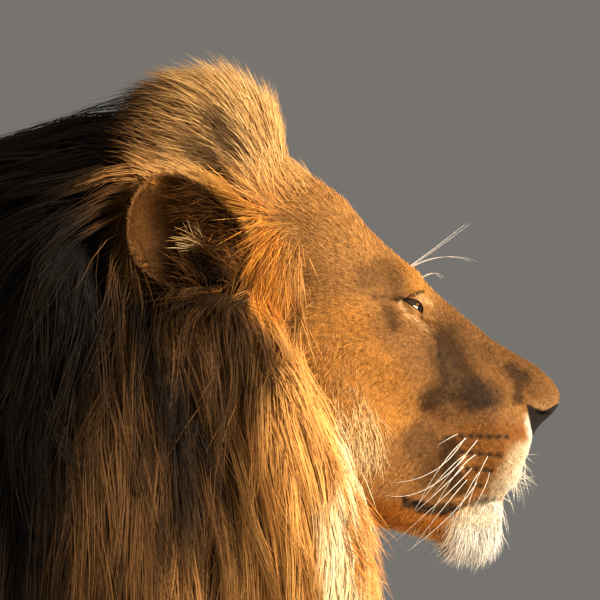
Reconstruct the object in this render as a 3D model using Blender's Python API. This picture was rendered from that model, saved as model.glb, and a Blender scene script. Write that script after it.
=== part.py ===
"""A standing male lion, life size, parted into the pieces that a person would name.

Metres, +Z up. The lion faces +X on the floor z = 0, and the origin is under the middle of its box.
The outside of each solid is the outside of the coat, so the mane is part of the neck.

Every form is clay: overlapping balls and tapers that a voxel remesh fuses. The fused bodies are
then parted with thin cuts. Sides are +1 for the lion's left (+Y) and -1 for its right (-Y).
"""

import math

import bmesh
import bpy
from mathutils import Matrix, Vector

# Driving dimensions, in metres.
EYE_HEIGHT = 1.120
EYE_FORWARD = 0.920  # of the withers' own zero, before the model is centred
EYE_OUT = 0.052  # eyeball's centre from the midline
EYE_RADIUS = 0.0185
SOCKET_RADIUS, SOCKET_FORWARD = 0.021, 0.026
SOLE_DIP = 0.006  # how much of each paw the floor cuts off, which leaves the flats
GAP = 0.0003  # between neighbouring pieces

FORE_PAW_X = {1: 0.455, -1: 0.375}
FORE_LEG_Y = 0.135
HIP_X = -0.530
HIND_PAW_X = {1: HIP_X - 0.170, -1: HIP_X - 0.050}
HIND_LEG_Y = 0.132
WRIST, ANKLE = 0.125, 0.110  # heights where the paws end
HEAD_BACK = 0.205  # from the eyes to the flat where the head ends inside the mane
SIDES = {"left": 1, "right": -1}

BODY_VOXEL = 0.0115
HEAD_VOXEL = 0.0055
SMALL_VOXEL = 0.0050
PAW_VOXEL = 0.0042
BALL_DETAIL = 3
TAPER_SIDES = 28

# Triangles of each fused body, before it is parted.
BODY_TRIANGLES = 1650
PAW_TRIANGLES = 215
MANE_TRIANGLES = 880
HEAD_TRIANGLES = 1620
TUFT_TRIANGLES = 100
MANE_ROOM = 0.30  # share of the head's triangles that the hollow in the mane keeps

COLOURS = {
    "tawny_coat": (0.50, 0.29, 0.13),
    "golden_mane": (0.33, 0.18, 0.08),
    "face_coat": (0.55, 0.31, 0.13),
    "pale_chin": (0.80, 0.68, 0.48),
    "dark_tuft": (0.05, 0.035, 0.025),
    "nose_leather": (0.045, 0.028, 0.022),
    "eye_amber": (0.42, 0.22, 0.05),
}
WET_SLOTS = ("nose_leather", "eye_amber")


class Clay:
    """Overlapping closed forms about an origin, which fuse() makes into one smooth body."""

    def __init__(self, origin=(0, 0, 0)):
        self.bm = bmesh.new()
        self.origin = Vector(origin)

    def ball(self, centre, radii, pitch=0.0, yaw=0.0):
        """An ellipsoid. In degrees, a positive pitch lifts its +X end and a positive yaw turns it to +Y."""
        turn = Matrix.Rotation(math.radians(yaw), 4, "Z") @ Matrix.Rotation(math.radians(-pitch), 4, "Y")
        place = Matrix.Translation(self.origin + Vector(centre)) @ turn @ Matrix.Diagonal((*radii, 1))
        bmesh.ops.create_icosphere(self.bm, subdivisions=BALL_DETAIL, radius=1, matrix=place)

    def taper(self, *stations):
        """A chain of round cones through (centre, radius) stations, with a ball at each."""
        for centre, radius in stations:
            self.ball(centre, (radius,) * 3)
        for (start, start_radius), (end, end_radius) in zip(stations, stations[1:]):
            along = Vector(end) - Vector(start)
            middle = self.origin + (Vector(start) + Vector(end)) / 2
            turn = Vector((0, 0, 1)).rotation_difference(along).to_matrix().to_4x4()
            bmesh.ops.create_cone(
                self.bm,
                cap_ends=True,
                segments=TAPER_SIDES,
                radius1=start_radius,
                radius2=end_radius,
                depth=along.length,
                matrix=Matrix.Translation(middle) @ turn,
            )

    def pair(self, kind, *args, **more):
        """The same form on both sides. Its points are given for the left side, at +Y."""
        for side in SIDES.values():
            if kind == "ball":
                (x, y, z), radii = args
                yaw = side * more.get("yaw", 0.0)
                self.ball((x, side * y, z), radii, more.get("pitch", 0.0), yaw)
            else:
                self.taper(*(((x, side * y, z), radius) for (x, y, z), radius in args))

    def fuse(self, name, voxel, smoothing, triangles, fill=0.0):
        """One body of all the forms. Hollows narrower than twice the fill are closed, as in flesh."""
        obj = link(bpy.data.objects.new(name, mesh_of(self.bm, name)))
        remesh(obj, voxel)
        if fill:
            swell(obj, fill)
            remesh(obj, voxel)
            soften(obj, smoothing)
            swell(obj, -fill)
            remesh(obj, voxel)
        soften(obj, smoothing)
        settle(obj)
        thin = obj.modifiers.new("Thin", "DECIMATE")
        thin.ratio = min(1.0, triangles / (2 * len(obj.data.polygons)))
        settle(obj)
        return obj


def remesh(obj, voxel):
    step = obj.modifiers.new("Remesh", "REMESH")
    step.mode = "VOXEL"
    step.voxel_size = voxel


def soften(obj, iterations):
    step = obj.modifiers.new("Soften", "SMOOTH")
    step.factor = 0.5
    step.iterations = iterations


def swell(obj, by):
    step = obj.modifiers.new("Swell", "DISPLACE")
    step.strength = by
    step.mid_level = 0.0


def link(obj):
    bpy.context.scene.collection.objects.link(obj)
    return obj


def remove(obj):
    bpy.data.objects.remove(obj)


def settle(obj):
    """Applies the object's modifiers to its own mesh."""
    bpy.context.view_layer.update()
    evaluated = obj.evaluated_get(bpy.context.evaluated_depsgraph_get())
    mesh = bpy.data.meshes.new_from_object(evaluated)
    obj.modifiers.clear()
    obj.data = mesh


def copy_of(obj, name):
    twin = obj.copy()
    twin.data = obj.data.copy()
    twin.name = name
    return link(twin)


def combine(obj, other, operation):
    """obj after a Boolean with other, which stays as it is."""
    step = obj.modifiers.new(operation, "BOOLEAN")
    step.operation = operation
    step.object = other
    step.solver = "EXACT"
    settle(obj)
    return obj


def swollen(obj, by):
    """A copy of obj with every point moved out along its normal."""
    twin = copy_of(obj, obj.name + "_swollen")
    swell(twin, by)
    settle(twin)
    return twin


def block(low, high, lean=0.0, pinch=1.0):
    """A box between two corners.

    lean moves its top towards +X, as a share of its height. pinch is its bottom's width as a share of its
    top's.
    """
    bm = bmesh.new()
    size = Vector(high) - Vector(low)
    middle = (Vector(high) + Vector(low)) / 2
    bmesh.ops.create_cube(bm, size=1, matrix=Matrix.Translation(middle) @ Matrix.Diagonal((*size, 1)))
    for vertex in bm.verts:
        vertex.co.x += lean * (vertex.co.z - low[2])
        if vertex.co.z < middle.z:
            vertex.co.y = middle.y + (vertex.co.y - middle.y) * pinch
    return link(bpy.data.objects.new("block", mesh_of(bm, "block")))


def mesh_of(bm, name):
    mesh = bpy.data.meshes.new(name)
    bm.to_mesh(mesh)
    bm.free()
    return mesh


def part_off(whole, name, low, high, lean=0.0, pinch=1.0):
    """Cuts the piece of whole that lies in a block away from it, and leaves a thin gap between the two."""
    inside = block(low, high, lean, pinch)
    piece = combine(copy_of(whole, name), inside, "INTERSECT")
    margin = Vector((GAP,) * 3)
    outside = block(Vector(low) - margin, Vector(high) + margin, lean, pinch)
    combine(whole, outside, "DIFFERENCE")
    remove(inside)
    remove(outside)
    return piece


def clear_of(piece, *others):
    """Cuts the others out of piece, with a thin gap, which is a little more where the other is curved."""
    for other in others:
        wide = swollen(other, 4 * GAP)
        combine(piece, wide, "DIFFERENCE")
        remove(wide)
        combine(piece, other, "DIFFERENCE")  # where a fold of the other swelled inwards
    return piece


def largest_body(obj):
    """Drops the crumbs that a cut can leave beside the piece."""
    bm = bmesh.new()
    bm.from_mesh(obj.data)
    left = set(bm.verts)
    bodies = []
    while left:
        found, todo = set(), [left.pop()]
        while todo:
            vertex = todo.pop()
            found.add(vertex)
            near = {edge.other_vert(vertex) for edge in vertex.link_edges} & left
            left -= near
            todo += near
        bodies.append(found)
    bodies.sort(key=len)
    crumbs = [vertex for body in bodies[:-1] for vertex in body]
    bmesh.ops.delete(bm, geom=crumbs, context="VERTS")
    bmesh.ops.dissolve_degenerate(bm, dist=1e-5, edges=bm.edges)
    bmesh.ops.triangulate(bm, faces=bm.faces)
    bm.to_mesh(obj.data)
    bm.free()


EYE_LINE = Vector((EYE_FORWARD, 0, EYE_HEIGHT))


def eye_centre(side):
    return EYE_LINE + Vector((-0.010, side * EYE_OUT, -0.004))


def gaze(side):
    """Where an eye looks: forward and a little outwards."""
    return Vector((0.86, side * 0.50, 0.0)).normalized()


def head_clay():
    """Skull, muzzle and jaw about the point between the eyes."""
    clay = Clay(EYE_LINE)
    # Brain case, forehead and the brows that shade the eyes.
    clay.ball((-0.165, 0, 0.038), (0.125, 0.105, 0.114))
    clay.taper(((-0.030, 0, 0.0025), 0.050), ((-0.108, 0, 0.0447), 0.070))
    clay.pair("ball", (-0.014, 0.040, 0.019), (0.033, 0.024, 0.021), pitch=-38, yaw=-18)
    clay.pair("ball", (-0.115, 0.048, 0.046), (0.085, 0.054, 0.062), pitch=-35)
    clay.pair("ball", (-0.085, 0.060, 0.004), (0.080, 0.042, 0.048), pitch=-38, yaw=-14)
    # Bridge of the nose, with its slight dip, and the rounded tip.
    clay.taper(((-0.0132, 0, 0.0005), 0.036), ((0.0607, 0, -0.054), 0.031))
    clay.taper(((0.071, 0, -0.063), 0.031), ((0.1224, 0, -0.0868), 0.027))
    clay.ball((0.1250, 0, -0.0965), (0.0315, 0.036, 0.029))
    clay.ball((0.1180, 0, -0.1200), (0.022, 0.026, 0.028))
    # Upper jaw, the pads that carry the whiskers, and the lips behind them.
    clay.taper(((0.000, 0, -0.080), 0.074), ((0.088, 0, -0.124), 0.047))
    clay.pair("ball", (0.080, 0.031, -0.156), (0.050, 0.036, 0.050), pitch=-8, yaw=-6)
    clay.pair("ball", (0.034, 0.042, -0.168), (0.060, 0.030, 0.046), pitch=6, yaw=-12)
    clay.pair("taper", ((0.004, 0.048, -0.080), 0.040), ((0.066, 0.033, -0.104), 0.034))
    # Cheekbone, cheek, chewing muscle and the side of the lower jaw.
    clay.pair(
        "taper",
        ((0.000, 0.057, -0.040), 0.029),
        ((-0.075, 0.084, -0.048), 0.034),
        ((-0.130, 0.088, -0.04), 0.036),
    )
    clay.pair("ball", (-0.020, 0.050, -0.066), (0.078, 0.046, 0.060), pitch=-40, yaw=-18)
    clay.pair("ball", (-0.112, 0.060, -0.058), (0.085, 0.064, 0.088), pitch=-20, yaw=-10)
    clay.pair("ball", (-0.092, 0.062, -0.125), (0.085, 0.054, 0.085), pitch=-24, yaw=-12)
    clay.pair(
        "taper",
        ((0.045, 0.018, -0.231), 0.027),
        ((-0.040, 0.046, -0.203), 0.034),
        ((-0.130, 0.066, -0.150), 0.055),
    )
    clay.ball((0.062, 0, -0.230), (0.039, 0.036, 0.035))
    clay.pair("ball", (-0.030, 0.050, -0.160), (0.075, 0.038, 0.055), pitch=-12, yaw=-20)
    clay.taper(((0.045, 0, -0.206), 0.036), ((-0.120, 0, -0.140), 0.080))
    # The back of the head, which the mane covers.
    clay.ball((-0.215, 0, -0.020), (0.095, 0.098, 0.130))
    return clay


def mane_clay():
    """Mane, neck and chest ruff, about the point between the eyes. Its front rim frames the face."""
    clay = Clay(EYE_LINE)
    # Forelock and crown, then the crest along the neck to the withers.
    clay.ball((-0.232, 0, 0.142), (0.112, 0.108, 0.121), pitch=-20)
    clay.ball((-0.188, 0, 0.100), (0.085, 0.114, 0.098), pitch=20)
    clay.taper(((-0.290, 0, 0.117), 0.120), ((-0.450, 0, -0.005), 0.183), ((-0.640, 0, -0.085), 0.160))
    clay.ball((-0.410, 0, -0.012), (0.122, 0.212, 0.200))
    clay.ball((-0.330, 0, 0.085), (0.100, 0.150, 0.138))
    clay.ball((-0.720, 0, -0.110), (0.170, 0.120, 0.120), pitch=16)
    # Cheek ruffs, which hang beside the jaw and under the throat.
    clay.pair(
        "taper",
        ((-0.235, 0.085, -0.020), 0.080),
        ((-0.172, 0.098, -0.130), 0.092),
        ((-0.142, 0.082, -0.260), 0.102),
    )
    clay.ball((-0.300, 0, -0.130), (0.185, 0.212, 0.205))
    # Beard of the throat and chest, then the drape over the shoulders.
    clay.ball((-0.190, 0, -0.360), (0.172, 0.165, 0.240), pitch=8)
    clay.taper(((-0.200, 0, -0.300), 0.150), ((-0.400, 0, -0.450), 0.150))
    clay.ball((-0.410, 0, -0.230), (0.260, 0.248, 0.310), pitch=-16)
    clay.ball((-0.560, 0, -0.200), (0.200, 0.215, 0.230), pitch=-30)
    return clay


def trunk_clay():
    clay = Clay()
    clay.ball((0.200, 0, 0.800), (0.420, 0.195, 0.268))
    clay.ball((-0.190, 0, 0.780), (0.420, 0.172, 0.210), pitch=4)
    clay.ball((HIP_X, 0, 0.840), (0.240, 0.160, 0.195), pitch=-6)
    clay.taper(((0.300, 0, 0.945), 0.125), ((-0.200, 0, 0.885), 0.118), ((HIP_X - 0.03, 0, 0.908), 0.120))
    clay.ball((0.300, 0, 0.980), (0.190, 0.085, 0.125), pitch=-4)
    clay.taper(((0.420, 0, 0.860), 0.190), ((0.620, 0, 1.020), 0.130))
    clay.pair("ball", (0.400, 0.120, 0.790), (0.135, 0.088, 0.235), pitch=-14)
    return clay


def add_foot(clay, side, paw_x, leg_y, size):
    """A pastern, the heel of the paw and its four toes. size is 1 for a fore paw."""
    y = side * leg_y
    ankle = paw_x - 0.028 * size
    clay.taper(((ankle - 0.020, y, 0.190), 0.043 * size), ((ankle, y, 0.100), 0.044 * size))
    clay.ball((paw_x - 0.022, y, 0.070), (0.052 * size, 0.049 * size, 0.048))
    heel_z = 0.041 * size - SOLE_DIP
    clay.ball((paw_x - 0.004, y, heel_z), (0.070 * size, 0.055 * size, 0.043 * size), pitch=-8)
    for rank in (-1.5, -0.5, 0.5, 1.5):
        back = 0.016 * (abs(rank) - 0.5)
        x, toe_y = paw_x + (0.066 - back) * size, y + 0.0300 * rank * size
        clay.ball((x - 0.012, toe_y, heel_z + 0.010), (0.034, 0.0165, 0.026), pitch=-30, yaw=7 * rank)
        clay.ball((x + 0.006, toe_y, heel_z - 0.010), (0.025, 0.0175, 0.023), yaw=7 * rank)


def paw(side, paw_x, leg_y, size, top):
    """A paw up to the height where the leg takes over."""
    clay = Clay()
    add_foot(clay, side, paw_x, leg_y, size)
    made = clay.fuse("paw", PAW_VOXEL, 3, PAW_TRIANGLES)
    room = block((paw_x - 0.3, -1, 0), (paw_x + 0.3, 1, top - GAP))
    combine(made, room, "INTERSECT")
    remove(room)
    return made


def add_foreleg(clay, side):
    paw_x = FORE_PAW_X[side]
    y = side * FORE_LEG_Y
    clay.taper(
        ((0.470, side * 0.125, 0.720), 0.105),
        ((0.365, side * 0.145, 0.585), 0.088),
        ((paw_x * 0.5 + 0.165, side * 0.142, 0.400), 0.060),
        ((paw_x - 0.040, y, 0.200), 0.045),
        ((paw_x - 0.028, y, 0.100), 0.044),
    )
    clay.ball((paw_x * 0.5 + 0.155, side * 0.146, 0.480), (0.068, 0.056, 0.125), pitch=4)
    clay.ball((paw_x - 0.072, y, 0.195), (0.020, 0.020, 0.026))  # the carpal pad behind the wrist


def add_hindleg(clay, side):
    paw_x = HIND_PAW_X[side]
    y = side * HIND_LEG_Y
    swing = paw_x - HIP_X + 0.105  # how far this paw stands ahead of a square stance
    hock = (paw_x - 0.108, y, 0.325)
    knee = (HIP_X + 0.135 + 0.6 * swing, side * 0.130, 0.570)
    thigh = HIP_X + 0.2 * swing
    clay.ball((thigh - 0.010, side * 0.092, 0.735), (0.165, 0.082, 0.225), pitch=-14)
    calf = (knee[0] - 0.125 + 0.1 * swing, side * 0.131, 0.450)
    hamstring = (thigh - 0.135 + 0.6 * swing, side * 0.126, 0.480)
    clay.taper(
        ((thigh, side * 0.080, 0.860), 0.115),
        ((thigh + 0.095, side * 0.118, 0.670), 0.112),
        (knee, 0.082),
    )
    clay.taper((knee, 0.082), (calf, 0.070), (hock, 0.041))
    clay.taper(
        ((thigh - 0.150, side * 0.075, 0.800), 0.092),
        ((thigh - 0.130 + 0.3 * swing, side * 0.105, 0.640), 0.086),
        (hamstring, 0.050),
        (hock, 0.030),
    )
    # The flesh between the calf and the hamstring.
    clay.ball(((calf[0] + hamstring[0]) / 2, side * 0.128, 0.500), (0.078, 0.052, 0.110), pitch=-8)
    clay.taper(
        ((hock[0] - 0.010, y, 0.320), 0.036),
        ((paw_x - 0.050, y, 0.190), 0.040),
        ((paw_x - 0.028, y, 0.090), 0.041),
    )


def tail_line():
    """Stations down the hanging tail, from its root to where the tuft begins."""
    root = Vector((HIP_X - 0.195, 0, 0.955))
    bend = Vector((HIP_X - 0.390, 0.010, 0.760))
    tip = Vector((HIP_X - 0.370, 0.030, 0.330))
    count = 9
    for step in range(count):
        t = step / (count - 1)
        point = root * (1 - t) ** 2 + bend * 2 * t * (1 - t) + tip * t**2
        yield tuple(point), 0.046 - 0.027 * min(1.0, 1.7 * t)


def tuft_clay():
    clay = Clay()
    tip = list(tail_line())[-1][0]
    widest = (tip[0] - 0.004, tip[1], tip[2] - 0.070)
    low = (tip[0] - 0.010, tip[1], tip[2] - 0.150)
    end = (tip[0] - 0.016, tip[1], tip[2] - 0.205)
    clay.taper((tip, 0.026), (widest, 0.047), (low, 0.030))
    clay.taper((low, 0.030), (end, 0.008))
    return clay


def ear(side):
    """A cupped ear that opens outwards: one lofted wall, out along its back and home along its inside."""
    root = EYE_LINE + Vector((-0.166, side * 0.100, 0.040))
    length, half_width, wall, cup = 0.152, 0.069, 0.0075, 0.036
    along = Vector((-0.135, side * 0.046, 0.082)).normalized()
    facing = Vector((0.26, side * 0.95, 0.06))
    facing = (facing - along * facing.dot(along)).normalized()
    across = facing.cross(along)
    rings, spokes = 4, 14
    bm = bmesh.new()

    def loop(share, lift):
        """One ring of the cup: share of the rim, and lift from the bottom of the cup towards its mouth."""
        made = []
        for spoke in range(spokes):
            turn = 2 * math.pi * spoke / spokes
            # The rim is round at the tip and drawn in at the root.
            reach = 0.5 * length * (1 + math.cos(turn) * share)
            width = half_width * math.sin(turn) * share * (0.80 + 0.20 * math.cos(turn - 0.5))
            made.append(bm.verts.new(root + along * reach + across * width + facing * lift))
        return made

    outer = [loop(step / rings, cup * ((step / rings) ** 2.2 - 1)) for step in range(1, rings + 1)]
    inner_size = 1 - wall / half_width
    inner = []
    for step in range(rings, 0, -1):
        share = step / rings
        inner.append(loop(inner_size * share, cup * (share**2.4 - 1) + wall * (1 - 0.25 * share**4)))
    loops = outer + inner
    for first, second in zip(loops, loops[1:]):
        for spoke in range(spokes):
            after = (spoke + 1) % spokes
            bm.faces.new((first[spoke], first[after], second[after], second[spoke]))
    bm.faces.new(outer[0][::-1])
    bm.faces.new(inner[-1])
    bmesh.ops.recalc_face_normals(bm, faces=bm.faces)
    return link(bpy.data.objects.new("ear", mesh_of(bm, "ear"))), facing


def eye(side):
    bm = bmesh.new()
    place = Matrix.Translation(eye_centre(side))
    bmesh.ops.create_uvsphere(bm, u_segments=12, v_segments=6, radius=EYE_RADIUS, matrix=place)
    return link(bpy.data.objects.new("eye", mesh_of(bm, "eye")))


def socket(side):
    """The ball whose dish in the brow lets the front of an eye show."""
    bm = bmesh.new()
    place = Matrix.Translation(eye_centre(side) + gaze(side) * SOCKET_FORWARD)
    bmesh.ops.create_icosphere(bm, subdivisions=3, radius=SOCKET_RADIUS, matrix=place)
    return link(bpy.data.objects.new("socket", mesh_of(bm, "socket")))


def ear_room(made, facing):
    """A convex plug that holds an ear and all that lies before its opening, which the mane leaves free."""
    bm = bmesh.new()
    bm.from_mesh(made.data)
    middle = sum((vertex.co for vertex in bm.verts), Vector()) / len(bm.verts)
    for vertex in list(bm.verts):
        vertex.co += (vertex.co - middle).normalized() * 6 * GAP
        bm.verts.new(vertex.co + facing * 0.12)
    hull = bmesh.ops.convex_hull(bm, input=bm.verts)
    spare = [item for item in hull["geom_interior"] if isinstance(item, bmesh.types.BMVert)]
    bmesh.ops.delete(bm, geom=spare, context="VERTS")
    kept = set(hull["geom"])
    bmesh.ops.delete(bm, geom=[face for face in bm.faces if face not in kept], context="FACES_ONLY")
    bmesh.ops.recalc_face_normals(bm, faces=bm.faces)
    return link(bpy.data.objects.new("ear_room", mesh_of(bm, "ear_room")))


def coarse_room(head):
    """A looser, coarser copy of the head for the hollow that it fills in the mane."""
    room = copy_of(head, "head_room")
    thin = room.modifiers.new("Thin", "DECIMATE")
    thin.ratio = MANE_ROOM
    swell(room, 7 * GAP)
    settle(room)
    return room


def finish(obj, name, slot):
    largest_body(obj)
    obj.name = obj.data.name = name
    obj.data.materials.clear()
    obj.data.materials.append(material(slot))
    obj.data.shade_smooth()
    obj.data.set_sharp_from_angle(angle=math.radians(40))
    return obj


def material(slot):
    made = bpy.data.materials.get(slot)
    if made:
        return made
    made = bpy.data.materials.new(slot)
    made.use_nodes = True
    shader = made.node_tree.nodes["Principled BSDF"]
    shader.inputs["Base Color"].default_value = (*COLOURS[slot], 1)
    shader.inputs["Roughness"].default_value = 0.25 if slot in WET_SLOTS else 0.85
    shader.inputs["Metallic"].default_value = 0.0
    return made


def part_head():
    """Head, lower jaw, nose leather, eyes and ears. Gives the rooms that the mane has to leave for them."""
    head = head_clay().fuse("head", HEAD_VOXEL, 9, HEAD_TRIANGLES, fill=0.016)
    back = block(EYE_LINE - Vector((1, 0.5, 0.5)), EYE_LINE + Vector((-HEAD_BACK, 0.5, 0.5)))
    combine(head, back, "DIFFERENCE")
    remove(back)
    rooms = [coarse_room(head), copy_of(head, "whole_head")]
    eyes = {name: eye(side) for name, side in SIDES.items()}
    ears = {}
    for name, side in SIDES.items():
        ears[name], facing = ear(side)
        rooms.append(ear_room(ears[name], facing))
        clear_of(ears[name], head)
        opening = socket(side)
        combine(head, opening, "DIFFERENCE")
        remove(opening)
    x, _, z = EYE_LINE
    # The mouth line runs back from under the lip, and the jaw is cut off slantwise behind its corner.
    mouth = z - 0.2105
    jaw = part_off(head, "lower_jaw", (x - 0.075, -0.2, mouth - 0.1), (x + 0.2, 0.2, mouth), lean=0.75)
    nose_low, nose_high = (x + 0.1190, -0.050, z - 0.1410), (x + 0.2, 0.050, z - 0.0960)
    nose = part_off(head, "nose", nose_low, nose_high, lean=0.06, pinch=0.24)
    clear_of(head, *eyes.values())
    finish(head, "head", "face_coat")
    finish(jaw, "lower_jaw", "pale_chin")
    finish(nose, "nose", "nose_leather")
    for name in SIDES:
        finish(eyes[name], f"eye_{name}", "eye_amber")
        finish(ears[name], f"ear_{name}", "face_coat")
    return rooms


def part_mane(rooms):
    """The mane, with hollows where the head and ears stand in it. Gives its form without the hollows."""
    mane = mane_clay().fuse("neck_mane", BODY_VOXEL, 12, MANE_TRIANGLES, fill=0.030)
    whole = copy_of(mane, "whole_mane")
    for room in rooms:
        combine(mane, room, "DIFFERENCE")
        remove(room)
    finish(mane, "neck_mane", "golden_mane")
    return whole


def part_legs(body):
    """Each leg in lengths. The paws are their own fine clay, and the body ends where they begin."""
    pieces = {}
    far = 0.4
    for name, side in SIDES.items():
        x = FORE_PAW_X[side]
        pieces[f"paw_fore_{name}"] = paw(side, x, FORE_LEG_Y, 1.0, WRIST)
        inner, outer = sorted((side * 0.012, side * far))
        low, high = (x - 0.25, inner, WRIST), (x + 0.25, outer, 0.50)
        pieces[f"forearm_{name}"] = part_off(body, "forearm", low, high)
        x = HIND_PAW_X[side]
        pieces[f"paw_hind_{name}"] = paw(side, x, HIND_LEG_Y, 0.94, ANKLE)
        low, high = (x - 0.22, inner, ANKLE), (x + 0.2, outer, 0.285)
        pieces[f"metatarsus_{name}"] = part_off(body, "metatarsus", low, high)
        low, high = (x - 0.22, inner, 0.285), (x + 0.45, outer, 0.500)
        pieces[f"shank_{name}"] = part_off(body, "shank", low, high)
        inner, outer = sorted((side * 0.062, side * far))
        low, high = (0.235, inner, 0.50), (0.66, outer, 0.70)
        pieces[f"upper_arm_{name}"] = part_off(body, "upper_arm", low, high, lean=0.3)
        low, high = (HIP_X - 0.30, inner, 0.50), (HIP_X + 0.24, outer, 0.92)
        pieces[f"thigh_{name}"] = part_off(body, "thigh", low, high, lean=-0.12)
    return pieces


def part_body(whole_mane):
    clay = trunk_clay()
    for side in SIDES.values():
        add_foreleg(clay, side)
        add_hindleg(clay, side)
    clay.taper(*tail_line())
    body = clay.fuse("trunk", BODY_VOXEL, 2, BODY_TRIANGLES, fill=0.008)
    for middle, top in ((0.5, WRIST), (HIP_X, ANKLE)):
        below = block((middle - 0.5, -1, -0.5), (middle + 0.5, 1, top))
        combine(body, below, "DIFFERENCE")
        remove(below)
    clear_of(body, whole_mane)
    remove(whole_mane)
    tuft = tuft_clay().fuse("tail_tuft", SMALL_VOXEL, 4, TUFT_TRIANGLES)
    clear_of(body, tuft)
    tail_lower = part_off(body, "tail_lower", (-1.2, -0.1, 0.2), (HIP_X - 0.283, 0.2, 0.640))
    tail_upper = part_off(body, "tail_upper", (-1.2, -0.1, 0.640), (HIP_X - 0.253, 0.2, 1.1), lean=0.05)
    pieces = part_legs(body)
    finish(body, "trunk", "tawny_coat")
    finish(tail_upper, "tail_upper", "tawny_coat")
    finish(tail_lower, "tail_lower", "tawny_coat")
    finish(tuft, "tail_tuft", "dark_tuft")
    for name, piece in pieces.items():
        finish(piece, name, "tawny_coat")


def centre_on_origin():
    """Slides the whole model so that the middle of its box is over the origin."""
    corners = [obj.matrix_world @ Vector(c) for obj in bpy.data.objects for c in obj.bound_box]
    for axis in (0, 1):
        values = [corner[axis] for corner in corners]
        shift = Vector((0, 0, 0))
        shift[axis] = -(min(values) + max(values)) / 2
        for obj in bpy.data.objects:
            obj.data.transform(Matrix.Translation(shift))


def main():
    for obj in list(bpy.data.objects):
        bpy.data.objects.remove(obj)
    part_body(part_mane(part_head()))
    bpy.context.view_layer.update()
    centre_on_origin()


main()
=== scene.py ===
"""The looks of a standing male lion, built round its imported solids.

One skin takes the place of the solids of flesh, with two eyes in it and a coat of mesh hair on it.
Places on the head are given from the point between the eyes, in metres: x towards the nose, y out to
the side, z up. Both sides are alike, so a place with y > 0 stands for both.
"""

import math

import bmesh
import bpy
import numpy as np
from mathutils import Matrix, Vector
from mathutils.bvhtree import BVHTree


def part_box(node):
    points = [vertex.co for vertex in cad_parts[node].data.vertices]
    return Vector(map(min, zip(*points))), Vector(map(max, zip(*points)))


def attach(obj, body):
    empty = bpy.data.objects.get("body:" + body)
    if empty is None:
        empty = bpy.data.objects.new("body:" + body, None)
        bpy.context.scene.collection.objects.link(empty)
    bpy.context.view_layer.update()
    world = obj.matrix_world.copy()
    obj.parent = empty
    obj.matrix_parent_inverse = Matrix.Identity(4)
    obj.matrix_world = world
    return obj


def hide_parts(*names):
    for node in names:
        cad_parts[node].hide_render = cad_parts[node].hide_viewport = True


# ---------------------------------------------------------------- sizes, in metres
EYE_FROM_LINE = Vector((-0.01, 0.052, -0.004))  # an eyeball's centre from the point between the eyes
BALL_CENTRE = (-0.0112, 0.05, -0.0055)  # the eyeball that shows, a little deeper than its node
EYE_RADIUS = 0.0162
NOSE_CENTRE = (0.125, 0.0, -0.115)
CANTHI = ((0.0066, 0.045, -0.0108), (-0.0163, 0.063, 0.0062))  # inner and outer corner of the lids
LID_OPEN_UP, LID_OPEN_DOWN = 0.0008, 0.0038
LID_THICK = 0.002
LID_NEAR, LID_FAR = 0.035, 0.045  # how far from an eyeball's centre its lids reach
NOSE_FORWARD, LIP_BACK = 0.01, 0.0065

ENVELOPE_VOXEL, SKIN_VOXEL = 0.0065, 0.0078
ENVELOPE_SMOOTHINGS, TRUNK_SMOOTHINGS, SKIN_SMOOTHINGS = 10, 18, 3
SINKINGS = 4  # steps in which the skin sinks under the coat
# How far the skin lies under the coat's outline, by the first part of a node's name.
COAT_DEPTH = {"neck": 0.034, "trunk": 0.007, "thigh": 0.006, "upper": 0.006, "shank": 0.004, "forearm": 0.004,
              "metatarsus": 0.003, "paw": 0.0015, "head": 0.003, "lower": 0.003, "nose": 0.0, "tail": 0.004}
TUFT_DEPTH, CROWN_DEPTH = 0.016, 0.013  # the same for the tail's tuft and the crown of the mane

CAMERA_AIM = Vector((-0.121, 0, 0.0054))  # middle of the picture, from the point between the eyes
CAMERA_SPAN = 0.648  # width of the picture there
CAMERA_DISTANCE, CAMERA_AZIMUTH, CAMERA_ELEVATION = 6.0, -5.0, 0.0
SENSOR = 36.0
# The camera looks a little from behind, so a point shows further forward the further out it is.
SIDE_VIEW = (math.cos(math.radians(CAMERA_AZIMUTH)), -math.sin(math.radians(CAMERA_AZIMUTH)))

SIDES = {-1: "right", 1: "left"}  # the two sides of the body, by the sign of y
FLOOR_HALF = 8.0
FLOOR_COLOUR = (0.8, 0.79, 0.77, 1)
WORLD_COLOUR, WORLD_STRENGTH = (1.0, 0.945, 0.87, 1), 0.185
LIGHT_AIM = (0.6, 0, 1.0)
# Each light: name, place, what it points at, diameter, watts, colour.
LIGHTS = (
    ("key", (5.0, -2.0, 2.8), LIGHT_AIM, 1.5, 590, (1.0, 0.86, 0.68)),
    ("fill", (-1.5, -6.0, 2.2), LIGHT_AIM, 3.0, 24, (1.0, 0.89, 0.76)),
    ("back", (-3.0, 4.5, 3.5), (0.0, 0, 0.9), 3.0, 70, (1.0, 0.97, 0.93)),
)

SEED = 20

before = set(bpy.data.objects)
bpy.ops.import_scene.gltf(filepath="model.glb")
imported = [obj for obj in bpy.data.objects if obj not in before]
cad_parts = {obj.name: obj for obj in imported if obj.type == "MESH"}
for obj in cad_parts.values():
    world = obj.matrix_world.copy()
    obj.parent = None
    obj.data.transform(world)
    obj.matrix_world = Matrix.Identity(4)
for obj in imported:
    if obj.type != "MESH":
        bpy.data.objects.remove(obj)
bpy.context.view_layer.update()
rng = np.random.default_rng(SEED)

FLESH = [name for name in sorted(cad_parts) if not name.startswith("eye_")]


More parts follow.
